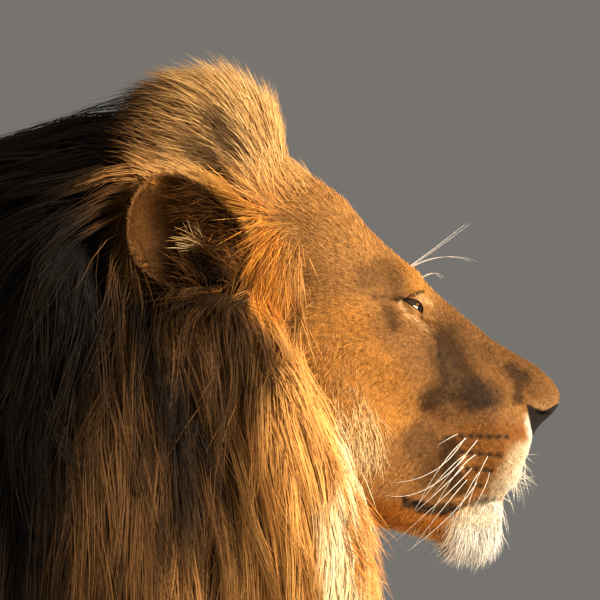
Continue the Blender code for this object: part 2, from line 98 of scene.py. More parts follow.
def eye_line():
    """The point between the eyes, from the boxes of the two eyes' nodes."""
    right, left = (sum(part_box(name), Vector()) / 2 for name in ("eye_right", "eye_left"))
    return Vector((right.x - EYE_FROM_LINE.x, (right.y + left.y) / 2, right.z - EYE_FROM_LINE.z))


EYE_LINE = eye_line()
ORIGIN = np.array(EYE_LINE)


# ---------------------------------------------------------------- meshes as arrays
def linked(name, data):
    """An object of this data, in the scene."""
    obj = bpy.data.objects.new(name, data)
    bpy.context.scene.collection.objects.link(obj)
    return obj


def new_object(name, vertices, faces):
    mesh = bpy.data.meshes.new(name)
    mesh.from_pydata(vertices, [], faces)
    return linked(name, mesh)


def fast_object(name, vertices, triangles):
    """An object of triangles, made from arrays."""
    mesh = bpy.data.meshes.new(name)
    count = len(triangles)
    mesh.vertices.add(len(vertices))
    mesh.vertices.foreach_set("co", np.asarray(vertices, np.float32).ravel())
    mesh.loops.add(3 * count)
    mesh.loops.foreach_set("vertex_index", np.asarray(triangles, np.int32).ravel())
    mesh.polygons.add(count)
    mesh.polygons.foreach_set("loop_start", np.arange(0, 3 * count, 3, dtype=np.int32))
    mesh.polygons.foreach_set("use_smooth", np.ones(count, bool))
    mesh.update(calc_edges=True)
    return linked(name, mesh)


def read(items, attribute, width, kind):
    """One attribute of all these items, as an array with width columns."""
    found = np.empty(width * len(items), kind)
    items.foreach_get(attribute, found)
    return found.reshape(-1, width)


def vertices_of(mesh):
    return read(mesh.vertices, "co", 3, np.float32).astype(float)


def normals_of(mesh):
    mesh.update()
    return read(mesh.vertices, "normal", 3, np.float32).astype(float)


def triangles_of(mesh):
    mesh.calc_loop_triangles()
    return read(mesh.loop_triangles, "vertices", 3, np.int32)


def edges_of(mesh):
    return read(mesh.edges, "vertices", 2, np.int32)


def place(mesh, co):
    mesh.vertices.foreach_set("co", np.asarray(co, np.float32).ravel())
    mesh.update()


def unit(vectors):
    return vectors / np.maximum(np.linalg.norm(vectors, axis=-1, keepdims=True), 1e-12)


def ease(low, high, value):
    """0 below low, 1 above high, and smooth between."""
    t = np.clip((value - low) / (high - low), 0, 1)
    return t * t * (3 - 2 * t)


def relaxed(values, edges, times, factor=0.5, weight=1.0):
    """values moved towards the mean of their neighbours, times over."""
    count = len(values)
    flat = values.reshape(count, -1).copy()
    degree = np.bincount(edges.ravel(), minlength=count).clip(1)
    first, second = edges.T
    for _ in range(times):
        for column in range(flat.shape[1]):
            v = flat[:, column]
            total = np.bincount(first, v[second], count) + np.bincount(second, v[first], count)
            flat[:, column] = v + factor * weight * (total / degree - v)
    return flat.reshape(values.shape)


def settle(obj):
    """Applies obj's modifiers."""
    bpy.context.view_layer.update()
    evaluated = obj.evaluated_get(bpy.context.evaluated_depsgraph_get())
    mesh = bpy.data.meshes.new_from_object(evaluated)
    obj.modifiers.clear()
    obj.data = mesh


def remeshed(obj, voxel):
    step = obj.modifiers.new("Remesh", "REMESH")
    step.mode = "VOXEL"
    step.voxel_size = voxel
    step.use_smooth_shade = True
    settle(obj)
    return obj


def joined(name, meshes):
    """One object of all these meshes."""
    bm = bmesh.new()
    for mesh in meshes:
        bm.from_mesh(mesh)
    mesh = bpy.data.meshes.new(name)
    bm.to_mesh(mesh)
    bm.free()
    mesh.materials.clear()
    return linked(name, mesh)


def tree_of(co, triangles):
    return BVHTree.FromPolygons([tuple(v) for v in co], [tuple(t) for t in triangles])


def smoothed(co, edges, times):
    """Smoother without growing thinner."""
    for _ in range(times):
        co = relaxed(co, edges, 1, 0.5)
        co = relaxed(co, edges, 1, -0.53)
    return co


def nearest_nodes(points):
    """The name of the flesh node that each point is nearest to."""
    names, vertices, triangles = [], [], []
    total = 0
    for name in FLESH:
        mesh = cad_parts[name].data
        vertices.append(vertices_of(mesh))
        found = triangles_of(mesh)
        triangles.append(found + total)
        total += len(mesh.vertices)
        names += [name] * len(found)
    tree = tree_of(np.concatenate(vertices), np.concatenate(triangles))
    return np.array([names[tree.find_nearest(p)[2]] for p in points])


def distance_to_node(points, node):
    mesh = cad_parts[node].data
    tree = tree_of(vertices_of(mesh), triangles_of(mesh))
    return np.array([tree.find_nearest(p)[3] for p in points])


# ---------------------------------------------------------------- skin
def over_trunk(p):
    """1 on the trunk from the shoulders to the rump, above the legs."""
    return ease(-0.4, -0.5, p[:, 0]) * ease(-1.62, -1.58, p[:, 0]) * ease(-0.65, -0.55, p[:, 2])


def envelope():
    """The outside of the whole coat as one smooth closed mesh, with the seams between the solids gone."""
    obj = joined("envelope", [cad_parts[n].data for n in FLESH if not n.startswith("ear_")])
    remeshed(obj, ENVELOPE_VOXEL)
    place(obj.data, smoothed(vertices_of(obj.data), edges_of(obj.data), ENVELOPE_SMOOTHINGS))
    smooth_region(obj, over_trunk, TRUNK_SMOOTHINGS)
    return obj


def depth_of_coat(points):
    """How far the skin lies under each point of the envelope."""
    owners = nearest_nodes(points)
    depth = np.array([COAT_DEPTH["neck" if n.startswith("ear") else n.split("_")[0]] for n in owners])
    depth[owners == "tail_tuft"] = TUFT_DEPTH
    own = points - ORIGIN
    crown = short_mane(own) * np.char.startswith(owners, "neck") * ~in_ear(own, 1.1)
    depth = depth * (1 - crown) + CROWN_DEPTH * crown
    depth[points[:, 2] < 0.012] = 0.0
    return depth


def skin_mesh(outside):
    """The skin: the envelope sunk by the coat's depth, with the head whole where the mane covers it."""
    mesh = outside.data.copy()
    co = vertices_of(mesh)
    edges = edges_of(mesh)
    depth = relaxed(depth_of_coat(co), edges, 4)
    for _ in range(SINKINGS):
        co = co - normals_of(mesh) * depth[:, None] / SINKINGS
        co = relaxed(co, edges, 1, weight=ease(0.012, 0.03, depth))
        place(mesh, co)
    heads = [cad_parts[n].data for n in ("head", "lower_jaw", "nose", "eye_left", "eye_right")]
    skin = joined("skin", [mesh, *heads])
    remeshed(skin, SKIN_VOXEL)
    place(skin.data, smoothed(vertices_of(skin.data), edges_of(skin.data), SKIN_SMOOTHINGS))
    return skin


def refine(obj, wanted):
    """Splits the edges whose both ends pass the test wanted(points)."""
    bm = bmesh.new()
    bm.from_mesh(obj.data)
    bm.verts.ensure_lookup_table()
    inside = wanted(vertices_of(obj.data) - ORIGIN)
    split = [e for e in bm.edges if inside[e.verts[0].index] and inside[e.verts[1].index]]
    bmesh.ops.subdivide_edges(bm, edges=split, cuts=1, use_grid_fill=True)
    bmesh.ops.triangulate(bm, faces=[f for f in bm.faces if len(f.verts) > 4])
    bm.to_mesh(obj.data)
    bm.free()


def mirrored(points):
    """Points from the eye line, all on one side."""
    folded = points.copy()
    folded[:, 1] = np.abs(folded[:, 1])
    return folded


def near(points, centre, radius):
    return np.linalg.norm(mirrored(points) - np.array(centre), axis=1) < radius


def refine_head(skin):
    """Splits the skin finer over the head, again on the muzzle and round the eyes, then on lids and nose."""
    refine(skin, lambda p: (p[:, 0] > -0.17) & (p[:, 2] > -0.3))
    smooth_region(skin, lambda p: ease(-0.19, -0.15, p[:, 0]) * ease(-0.32, -0.28, p[:, 2]), 3)
    refine(skin, lambda p: (p[:, 0] > 0.02) | near(p, EYE_FROM_LINE, 0.045))
    smooth_region(skin, lambda p: ease(-0.02, 0.03, p[:, 0]), 2)
    refine(skin, lambda p: near(p, EYE_FROM_LINE, 0.03) | near(p, NOSE_CENTRE, 0.042))


def smooth_region(obj, weight, times):
    """Smooths obj where weight(points) is above 0."""
    co = vertices_of(obj.data)
    amount = weight(co - ORIGIN)
    place(obj.data, relaxed(co, edges_of(obj.data), times, weight=amount))


def lid_frame():
    """Middle of the lids' opening, directions along, up across and out of it, and half its length."""
    inner, outer = np.array(CANTHI[0]), np.array(CANTHI[1])
    along = unit(outer - inner)
    out = np.array((0.8, 0.55, -0.1))
    out = unit(out - along * out.dot(along))
    up = np.cross(out, along)
    if up[2] < 0:
        up = -up
    return (inner + outer) / 2, along, up, out, np.linalg.norm(outer - inner) / 2


def lid_edges(a):
    """Height of the upper and the lower lid's edge at a, from -1 at the inner corner to 1 at the outer."""
    arch = np.clip(1 - a**2, 0, 1)
    return LID_OPEN_UP * arch**0.8, -LID_OPEN_DOWN * arch**0.9


def shape_lids(skin):
    """Lays the lids on the eyeballs, and sinks the skin behind them where they open."""
    co = vertices_of(skin.data) - ORIGIN
    side = np.where(co[:, 1] < 0, -1.0, 1.0)
    p = mirrored(co)
    centre = np.array(BALL_CENTRE)
    middle, along, up, out, half = lid_frame()
    reach = p - centre
    distance = np.linalg.norm(reach, axis=1)
    direction = unit(reach)
    facing = direction @ out
    flat = (middle - centre) @ out / np.maximum(facing, 0.05)
    local = centre + direction * flat[:, None] - middle
    a, b = local @ along / half, local @ up
    high, low = lid_edges(a)
    # How far inside the opening, in metres: positive between the lids.
    inside = np.minimum(high - b, b - low)
    beyond = np.maximum(np.abs(a) - 1, 0) * half
    inside = np.where(beyond > 0, -np.hypot(beyond, b), inside)
    lid = EYE_RADIUS + LID_THICK
    over = np.where((facing > 0.1) & (distance < LID_NEAR), np.maximum(distance, lid), distance)
    hold = ease(-0.013, -0.004, inside) * ease(0.2, 0.5, facing) * (distance < LID_FAR)
    target = over + (lid - over) * hold
    sunk = ease(-0.0004, 0.0008, inside) * (facing > 0.2) * (distance < LID_NEAR)
    target = target + (EYE_RADIUS * 0.8 - target) * sunk
    moved = centre + direction * target[:, None]
    near_eye = distance < LID_FAR
    moved[:, 1] *= side
    co[near_eye] = moved[near_eye]
    place(skin.data, co + ORIGIN)


def side_point(tree, x, z):
    """The point of the skin at this place in side view, from the eye line, on the side y > 0."""
    along, across = SIDE_VIEW
    start = EYE_LINE + Vector((x * along - 0.6 * across, x * across + 0.6 * along, z))
    hit = tree.ray_cast(start, Vector((across, -along, 0)))[0]
    if hit is None:
        hit = tree.find_nearest(EYE_LINE + Vector((x, 0.01, z)))[0]
    return np.array(hit) - ORIGIN


def seen(points):
    """Points with x as it shows in side view, on both sides."""
    turned_view = points.copy()
    turned_view[..., 0] = SIDE_VIEW[0] * points[..., 0] + SIDE_VIEW[1] * np.abs(points[..., 1])
    return turned_view


def line_distance(points, line):
    """Distance of points from a chain of points, and how far along it the nearest place is, from 0 to 1."""
    best = np.full(len(points), 1e9)
    share = np.zeros(len(points))
    steps = len(line) - 1
    for k in range(steps):
        start, end = np.array(line[k], float), np.array(line[k + 1], float)
        along = end - start
        t = np.clip((points - start) @ along / max(along @ along, 1e-12), 0, 1)
        gap = np.linalg.norm(points - (start + t[:, None] * along), axis=1)
        closer = gap < best
        best[closer] = gap[closer]
        share[closer] = (k + t[closer]) / steps
    return best, share


# ---------------------------------------------------------------- folds, lips and nose
# Each stroke: how far it lifts the skin (below 0, sinks it), its half width, and its points: (x, z) in side
# view, or (x, y, z) on the front of the muzzle, which the side view doesn't show.
STROKES = (
    (-0.0026, 0.0024, ((-0.029, 0.006), (-0.013, 0.0089), (-0.0032, 0.011), (0.0054, 0.0121),
                       (0.0125, 0.0153))),
    (0.003, 0.013, ((-0.012, 0.03), (0.003, 0.034))),
    (-0.0012, 0.002, ((0.004, -0.0085), (0.013, -0.0178), (0.024, -0.028))),
    (0.0009, 0.0022, ((-0.0151, 0.0043), (-0.0076, -0.0086), (0.0048, -0.0179), (0.0173, -0.0248))),
    (-0.0014, 0.0026, ((-0.02, -0.0005), (-0.01, -0.017), (0.004, -0.029))),
    (-0.0018, 0.004, ((0.025, -0.046), (0.031, -0.06), (0.029, -0.074))),
    (-0.004, 0.017, ((0.04, -0.052), (0.05, -0.082), (0.036, -0.112))),
    (0.0035, 0.018, ((0.06, -0.15), (0.088, -0.146))),
    (-0.0008, 0.002, ((0.046, -0.1395), (0.072, -0.1415), (0.1, -0.1425))),
    (-0.0008, 0.002, ((0.05, -0.158), (0.072, -0.1595), (0.098, -0.161))),
    (-0.0008, 0.002, ((0.053, -0.172), (0.074, -0.1755), (0.088, -0.178))),
    (0.0035, 0.014, ((0.108, 0.02, -0.178), (0.09, 0.034, -0.18))),
    (0.0026, 0.0055, ((-0.004, -0.203), (0.022, -0.212), (0.045, -0.208), (0.08, -0.198))),
    (-0.0065, 0.0024, ((-0.014, -0.2075), (0.006, -0.213), (0.026, -0.2195), (0.043, -0.217),
                       (0.06, -0.2105), (0.085, -0.2085))),
    (-0.007, 0.0026, ((0.085, -0.2085), (0.096, 0.024, -0.213), (0.106, 0.011, -0.206),
                      (0.113, 0.0, -0.192))),
    (-0.002, 0.006, ((-0.012, -0.214), (0.02, -0.226), (0.046, -0.226))),
)
NOSTRIL = ((0.152, 0.0125, -0.121), (0.143, 0.02, -0.12), (0.133, 0.027, -0.116))
PHILTRUM = ((0.157, 0, -0.119), (0.143, 0, -0.133), (0.129, 0, -0.145), (0.125, 0, -0.16), (0.118, 0, -0.18),
            (0.108, 0, -0.2))
# The lower edge of the fur over the nose, where its leather begins: z at each x.
NOSE_TOP = ((0.11, -0.104), (0.1237, -0.107), (0.131, -0.1105), (0.1415, -0.1155), (0.149, -0.112),
            (0.158, -0.107))


def shape_profile(skin):
    """Carries the nose's tip forward and the upper lip back to the animal's outline."""
    co = vertices_of(skin.data)
    p = mirrored(co - ORIGIN)
    x, y, z = p[:, 0], p[:, 1], p[:, 2]
    spread = np.where(z > -0.11, 0.028, 0.022)
    nose = NOSE_FORWARD * np.exp(-(((z + 0.11) / spread) ** 2)) * ease(0.115, 0.146, x) * ease(0.05, 0.02, y)
    lip = LIP_BACK * np.exp(-(((z + 0.172) / 0.015) ** 2)) * ease(0.085, 0.12, x)
    co[:, 0] += nose - lip
    place(skin.data, co)


def leather_on(skin):
    """How bare each point of the skin is: 1 on the nose's leather, which ends at NOSE_TOP, and 0 on fur."""
    points = vertices_of(skin.data) - ORIGIN
    near_nose = ease(0.012, 0.009, distance_to_node(points + ORIGIN, "nose"))
    top = np.interp(seen(points)[:, 0], [e[0] for e in NOSE_TOP], [e[1] for e in NOSE_TOP])
    side = np.interp(points[:, 2], (-0.14, -0.107), (0.13, 0.1237))
    inside = ease(0.0012, -0.0002, points[:, 2] - top) * ease(-0.0012, 0.0004, seen(points)[:, 0] - side)
    return near_nose * inside * ease(-0.144, -0.14, points[:, 2])


def stroke_strength(line, share):
    """1 along a stroke and less at its ends; one that ends on the front of the muzzle is whole there."""
    if len(line) == 2:
        return 1.0
    if len(line[-1]) == 3:
        return ease(-0.02, 0.12, share)
    return ease(-0.02, 0.15, share) * ease(1.02, 0.85, share)


def shape_folds(skin):
    """Lifts and sinks the skin along its strokes."""
    co = vertices_of(skin.data)
    tree = tree_of(co, triangles_of(skin.data))
    folded = mirrored(co - ORIGIN)
    head = np.flatnonzero((folded[:, 0] > -0.1) & (folded[:, 2] > -0.3))
    lift = np.zeros(len(co))
    for amount, width, line in STROKES:
        chain = [side_point(tree, *at) if len(at) == 2 else np.array(at) for at in line]
        gap, share = line_distance(folded[head], chain)
        lift[head] += amount * np.exp(-((gap / width) ** 2)) * stroke_strength(line, share)
    for depth, width, line in ((0.009, 0.0036, NOSTRIL), (0.0042, 0.0022, PHILTRUM)):
        gap, share = line_distance(folded[head], line)
        lift[head] -= depth * np.exp(-((gap / width) ** 2)) * (1 - 0.3 * share)
    place(skin.data, co + normals_of(skin.data) * lift[:, None])


# ---------------------------------------------------------------- ears
EAR_ROOT = np.array((-0.187, 0.1, 0.038))
EAR_ALONG = unit(np.array((-0.135, 0.046, 0.082)))
EAR_FACING = np.array((0.26, 0.95, 0.06))
EAR_FACING = unit(EAR_FACING - EAR_ALONG * EAR_ALONG.dot(EAR_FACING))
EAR_DOWN = np.cross(EAR_ALONG, EAR_FACING)
EAR_LENGTH, EAR_HALF_WIDTH, EAR_WALL, EAR_CUP = 0.15, 0.067, 0.006, 0.036


def ear_point(share, turn, lift):
    """Points of the left ear, by share of the way to its rim, turn from its tip, and lift to its mouth."""
    reach = 0.5 * EAR_LENGTH * (1 + np.cos(turn) * share)
    width = EAR_HALF_WIDTH * np.sin(turn) * share * (0.8 + 0.2 * np.cos(turn - 0.5))
    flare = 0.004 * np.sin(3 * turn + 1.0) * share**3
    flat = EAR_ROOT + reach[..., None] * EAR_ALONG + width[..., None] * EAR_DOWN
    return flat + (lift + flare)[..., None] * EAR_FACING


def grid_faces(rows, spokes):
    """Faces of a closed tube of rows rings, with spokes vertices in each, and of its two ends."""
    faces = []
    for i in range(rows - 1):
        for j in range(spokes):
            a, b = i * spokes + j, i * spokes + (j + 1) % spokes
            faces.append((a, b, b + spokes, a + spokes))
    faces.append(tuple(reversed(range(spokes))))
    faces.append(tuple(range((rows - 1) * spokes, rows * spokes)))
    return faces


def ear_cup(side):
    """One ear as a smooth closed cup: out along its back and home along its inside."""
    rings, spokes = 22, 72
    turn = np.linspace(0, 2 * math.pi, spokes, endpoint=False)[None]
    out = np.linspace(0.04, 1.0, rings)[:, None]
    home = np.linspace(1.0, 0.04, rings)[:, None] * (1 - EAR_WALL / EAR_HALF_WIDTH)
    back = ear_point(out + 0 * turn, turn + 0 * out, EAR_CUP * (out**2.2 - 1) + 0 * turn)
    rounded = EAR_WALL * (1 - 0.45 * (home / home.max()) ** 6)
    inside = ear_point(home + 0 * turn, turn + 0 * home, EAR_CUP * (home**2.4 - 1) + rounded + 0 * turn)
    rim = ear_point(0 * turn + 0.995, turn, 0 * turn + EAR_WALL * 0.35)
    rows = np.concatenate([back, rim, inside])
    vertices = rows.reshape(-1, 3) * (1, side, 1) + ORIGIN
    obj = new_object("ear", [tuple(v) for v in vertices], grid_faces(len(rows), spokes))
    bm = bmesh.new()
    bm.from_mesh(obj.data)
    bmesh.ops.recalc_face_normals(bm, faces=bm.faces)
    bm.to_mesh(obj.data)
    bm.free()
    return obj


def ear_hollow_shade(p):
    """Where painted shade darkens the ear's hollow: 1 in the hollow and 0 away from it."""
    local = mirrored(p) - EAR_ROOT
    return ease(0.03, 0.01, np.hypot(local @ EAR_ALONG - 0.039, local @ EAR_DOWN - 0.024))


def ear_colour(p):
    """Colour of the ear's skin: tawny in front, black behind, and brown within, darkened there with painted
    shade that is black in the hollow.
    """
    p = mirrored(p)
    local = p - EAR_ROOT
    reach = local @ EAR_ALONG / EAR_LENGTH
    down = local @ EAR_DOWN / EAR_HALF_WIDTH
    lift = local @ EAR_FACING
    floor = EAR_CUP * (np.clip(np.hypot(2 * reach - 1, down), 0, 1) ** 2.3 - 1)
    within = ease(0.0015, 0.0045, lift - floor)
    colour = mix(AMBER_FUR, BLACK_BROWN_AND_SHADE, 0.85 * ease(-0.35, 0.25, down) * (1 - within))
    # Painted shade inside the cup: brown, darker towards the ear's root, and black in its hollow.
    inner = mix((0.07, 0.028, 0.006), (0.032, 0.014, 0.005), ease(0.8, 0.25, reach))
    inner = mix(inner, BLACK, ear_hollow_shade(p))
    return mix(colour, inner, within)


# ---------------------------------------------------------------- colours, linear
BODY = (0.5, 0.285, 0.12)
BELLY = (0.66, 0.5, 0.32)
FACE = (0.405, 0.186, 0.052)
AMBER_FUR = (0.5, 0.205, 0.038)
PALE = (0.8, 0.62, 0.38)
WHITE = (0.88, 0.79, 0.64)
BROWN = (0.27, 0.12, 0.038)
SHADE = (0.125, 0.058, 0.019)
# A black brown: the lion's black fur, spots and lips, and painted shade in a crease and on the muzzle.
BLACK_BROWN_AND_SHADE = (0.04, 0.023, 0.013)
DUSK = (0.05, 0.025, 0.01)
BLACK = (0.012, 0.008, 0.006)
LEATHER = (0.013, 0.009, 0.008)
MUZZLE_BROWN = (0.18, 0.08, 0.024)
PAD_BROWN = (0.24, 0.085, 0.017)
# Painted shade: the warm dark orange of the jaw's shaded underside.
SHADED_JAW_ORANGE = (0.33, 0.098, 0.009)
LID_SHADE = (0.05, 0.024, 0.012)
LID_PALE = (0.74, 0.46, 0.2)
WOBBLE = 0.0011  # how far the edges of the marks are moved
GROUND_SHADE = 0.74  # painted shade: how dark the head's skin is beside the fur that stands on it

# Each mark on the head: colour, amount, radius, softness, and its (x, z) points in side view.
FACE_MARKS = (
    (AMBER_FUR, 0.8, 0.03, 0.035, ((-0.075, -0.04), (-0.05, -0.1), (-0.045, -0.14))),
    # Painted highlight: the lit bump of the brow, in brighter orange.
    (AMBER_FUR, 0.7, 0.006, 0.012, ((-0.002, 0.042), (0.007, 0.02))),
    (MUZZLE_BROWN, 0.8, 0.016, 0.024, ((0.0475, -0.0162), (0.0842, -0.0572), (0.1274, -0.0853),
                                       (0.1447, -0.0983))),
    (BROWN, 0.22, 0.01, 0.02, ((-0.11, 0.02), (-0.06, 0.03))),
    (SHADE, 0.65, 0.008, 0.016, ((-0.0454, 0.0292), (-0.0324, 0.0356), (-0.0216, 0.0248))),
    (BROWN, 0.75, 0.01, 0.02, ((-0.028, -0.022), (0.002, -0.042), (0.008, -0.06))),
    # The muzzle's dark patch: its darker fur, with painted shade where the muzzle turns away between cheek
    # and nose.
    (SHADE, 0.72, 0.014, 0.02, ((0.036, -0.048), (0.046, -0.076), (0.052, -0.096), (0.074, -0.101))),
    (SHADE, 0.7, 0.01, 0.016, ((0.024, -0.104), (0.06, -0.112))),
    (SHADE, 0.7, 0.009, 0.018, ((0.041, -0.0335), (0.0518, -0.0551), (0.0518, -0.0724))),
    (DUSK, 0.8, 0.005, 0.014, ((0.0356, -0.0356), (0.0432, -0.0529), (0.041, -0.0724))),
    (DUSK, 0.8, 0.008, 0.022, ((0.0281, -0.1004), (0.0475, -0.0896), (0.0713, -0.1004), (0.0821, -0.1048))),
    (DUSK, 0.75, 0.008, 0.022, ((0.0389, -0.0594), (0.0475, -0.0767), (0.0518, -0.094))),
    (MUZZLE_BROWN, 0.6, 0.012, 0.014, ((0.1102, -0.0637), (0.1296, -0.0745))),
    (DUSK, 0.7, 0.004, 0.012, ((0.0194, -0.1112), (0.0454, -0.1199), (0.0756, -0.122))),
    (BLACK_BROWN_AND_SHADE, 0.85, 0.01, 0.012, ((0.067, -0.094), (0.0767, -0.1156))),
    (BROWN, 0.4, 0.002, 0.006, ((0.0302, -0.1134), (0.0518, -0.1058))),
    (SHADE, 0.6, 0.003, 0.009, ((0.0778, -0.0486), (0.0821, -0.0572))),
    (BLACK_BROWN_AND_SHADE, 0.75, 0.003, 0.009, ((0.1058, -0.0702), (0.121, -0.0788))),
    (DUSK, 0.8, 0.0022, 0.007, ((0.1145, -0.0896), (0.1134, -0.1048))),
    (SHADE, 0.5, 0.003, 0.008, ((0.1058, -0.1199), (0.1091, -0.135))),
    (BROWN, 0.75, 0.01, 0.014, ((0.0194, -0.1307), (0.0626, -0.1307), (0.1058, -0.1264))),
    # Painted shadow under the cheek, over the back of the muzzle below it.
    (BROWN, 0.75, 0.014, 0.02, ((-0.04, -0.16), (0.01, -0.155), (0.02, -0.185))),
    (SHADE, 0.75, 0.013, 0.016, ((0.0086, -0.1458), (0.0259, -0.1674), (0.0259, -0.1912))),
    (BROWN, 0.6, 0.01, 0.016, ((-0.03, -0.205), (0.03, -0.205))),
    (PAD_BROWN, 0.85, 0.012, 0.013, ((0.0626, -0.1458), (0.1058, -0.1458), (0.0929, -0.1717),
                                     (0.0713, -0.1868))),
    # Painted shadow, at its darkest, on the back of the muzzle under the cheek.
    (DUSK, 0.85, 0.006, 0.009, ((0.0389, -0.1501), (0.0421, -0.176), (0.0497, -0.1955))),
    # Painted shade along the crease at the back of the muzzle.
    (BLACK_BROWN_AND_SHADE, 0.6, 0.0004, 0.0045, ((0.03, -0.036), (0.0275, -0.048), (0.031, -0.0625))),
    # Painted shade on the underside of the jaw.
    (SHADED_JAW_ORANGE, 0.85, 0.008, 0.014, ((-0.035, -0.222), (0.038, -0.236))),
    (DUSK, 0.65, 0.003, 0.01, ((-0.027, -0.0054), (-0.0194, -0.0205))),
    (LID_SHADE, 0.6, 0.0016, 0.006, ((-0.041, 0.0093), (-0.013, 0.0071))),
    (LID_SHADE, 0.9, 0.0005, 0.0026, ((-0.0173, 0.0071), (-0.0043, 0.0093), (0.0065, 0.0119),
                                      (0.0119, 0.0145))),
    (LID_PALE, 0.55, 0.0016, 0.005, ((0.0086, 0.0076), (0.0194, 0.0022))),
    (LID_PALE, 0.6, 0.0006, 0.0028, ((-0.0134, 0.0037), (-0.0069, -0.008), (0.0048, -0.0173),
                                     (0.0162, -0.0238))),
    (LID_SHADE, 0.75, 0.0008, 0.0035, ((0.0112, -0.013), (0.0205, -0.0259), (0.0281, -0.0421))),
    (WHITE, 0.9, 0.0008, 0.011, ((0.1307, -0.122), (0.1318, -0.1458), (0.1242, -0.1674), (0.1156, -0.1847),
                                 (0.1037, -0.1998))),
    (PALE, 0.6, 0.003, 0.016, ((0.1166, -0.1588), (0.1058, -0.1804), (0.095, -0.1955))),
    (WHITE, 0.95, 0.008, 0.014, ((0.0864, -0.2214), (0.0756, -0.2344), (0.0583, -0.2538))),
    (PALE, 0.6, 0.008, 0.014, ((0.0756, -0.2257), (0.0518, -0.2408))),
    (BLACK, 0.95, 0.003, 0.0045, ((-0.0076, -0.2102), (0.0065, -0.2166), (0.0259, -0.2208),
                                  (0.0432, -0.2188))),
    (BLACK_BROWN_AND_SHADE, 0.8, 0.001, 0.003, ((0.0432, -0.2188), (0.067, -0.2132), (0.0864, -0.2084))),
)
# Dark lines of the front of the mouth and of the cleft under the nose: (x, y, z).
LIP_LINE = ((0.085, 0.036, -0.2085), (0.096, 0.024, -0.213), (0.106, 0.011, -0.206), (0.113, 0.0, -0.192),
            (0.122, 0, -0.18), (0.127, 0, -0.16), (0.1265, 0, -0.142))
WHISKER_ROWS = (
    ((0.0518, -0.1398), (0.0626, -0.14), (0.0724, -0.1406), (0.0821, -0.141), (0.0918, -0.141),
     (0.1015, -0.141)),
    ((0.0529, -0.157), (0.0626, -0.1583), (0.0724, -0.1594), (0.0821, -0.1603), (0.0929, -0.1614)),
    ((0.0583, -0.175), (0.068, -0.176), (0.0778, -0.1769), (0.0842, -0.1778)),
    ((0.0648, -0.1912), (0.0734, -0.1938)),
)


def mix(low, high, share):
    share = np.asarray(share)[..., None]
    return np.asarray(low) * (1 - share) + np.asarray(high) * share


def flat_distance(points, line):
    """Distance in side view from a chain of (x, z) points."""
    flat = seen(points) * (1, 0, 1)
    return line_distance(flat, [(x, 0, z) for x, z in line])[0]


def close_to(points, line, far, full):
    """1 within full of a line in side view, 0 beyond far from it, and smooth between."""
    return ease(far, full, flat_distance(points, line))


def wobbled(p):
    """Points moved a little, smoothly and unevenly, so that a mark's edge isn't even."""
    x, z = p[:, 0], p[:, 2]
    across = np.sin(310 * x + 190 * z + 1.0) + 0.7 * np.sin(530 * z - 240 * x + 4.0)
    across = across + 0.5 * np.sin(870 * x + 610 * z)
    upward = np.sin(280 * z - 210 * x + 2.0) + 0.7 * np.sin(490 * x + 330 * z + 5.0)
    upward = upward + 0.5 * np.sin(790 * z - 560 * x)
    return p + WOBBLE * np.c_[across, np.zeros(len(p)), upward]


def face_colour(p):
    """Colour of the short fur of the head at points given from the eye line, with painted shade and a painted
    highlight among its marks.
    """
    uneven = wobbled(p)
    colour = np.tile(np.array(FACE), (len(p), 1))
    for tint, amount, radius, soft, line in FACE_MARKS:
        colour = mix(colour, tint, amount * close_to(uneven, line, radius + soft, radius))
    x = seen(p)[:, 0]
    for row in WHISKER_ROWS:
        colour = mix(colour, SHADE, 0.7 * close_to(p, row, 0.0042, 0.001))
        for spot in row:
            gap = np.hypot(x - spot[0], p[:, 2] - spot[1])
            colour = mix(colour, BLACK_BROWN_AND_SHADE, 0.9 * ease(0.0036, 0.0014, gap))
    gap = line_distance(p, LIP_LINE)[0]
    colour = mix(colour, SHADE, 0.6 * ease(0.0034, 0.0012, gap))
    return colour


def body_colour(p):
    """Colour of the short fur of the body, legs and tail."""
    colour = np.tile(np.array(BODY), (len(p), 1))
    height = p[:, 2] + EYE_LINE.z
    y = np.abs(p[:, 1])
    belly = ease(0.62, 0.5, height) * ease(0.14, 0.05, y) * ease(-1.45, -1.3, p[:, 0])
    colour = mix(colour, BELLY, 0.8 * belly)
    inner_leg = ease(0.62, 0.5, height) * ease(0.115, 0.085, y) * ease(0.08, 0.2, height)
    colour = mix(colour, BELLY, 0.6 * inner_leg)
    colour = mix(colour, SHADE, 0.3 * ease(0.85, 0.98, height) * ease(0.12, 0.03, y))
    colour = mix(colour, BELLY, 0.35 * ease(0.16, 0.05, height))
    return colour


# Each zone of the mane: colour of its light locks, colour of its dark locks, share of dark ones.
GOLD = ((0.85, 0.41, 0.11), (0.44, 0.18, 0.045), 0.28)
CROWN = ((0.76, 0.45, 0.165), (0.36, 0.18, 0.062), 0.35)
RUST = ((0.88, 0.33, 0.045), (0.42, 0.13, 0.02), 0.3)
# TAUPE and DARK are the mane's brown and black hair, made darker with painted shade for its shaded middle and
# back.
TAUPE = ((0.13, 0.062, 0.02), (0.034, 0.016, 0.006), 0.42)
LOW = ((0.42, 0.2, 0.065), (0.1, 0.048, 0.018), 0.4)
DARK = ((0.013, 0.008, 0.005), (0.004, 0.003, 0.0025), 0.5)
FRONT = ((1.0, 0.82, 0.5), (0.92, 0.6, 0.27), 0.15)
CHEST = ((0.17, 0.09, 0.04), (0.035, 0.022, 0.014), 0.5)
REAR = ((0.27, 0.14, 0.055), (0.06, 0.032, 0.015), 0.45)
SHADES = ((0.16, 0.085, 0.04), (0.05, 0.028, 0.014), 0.5)
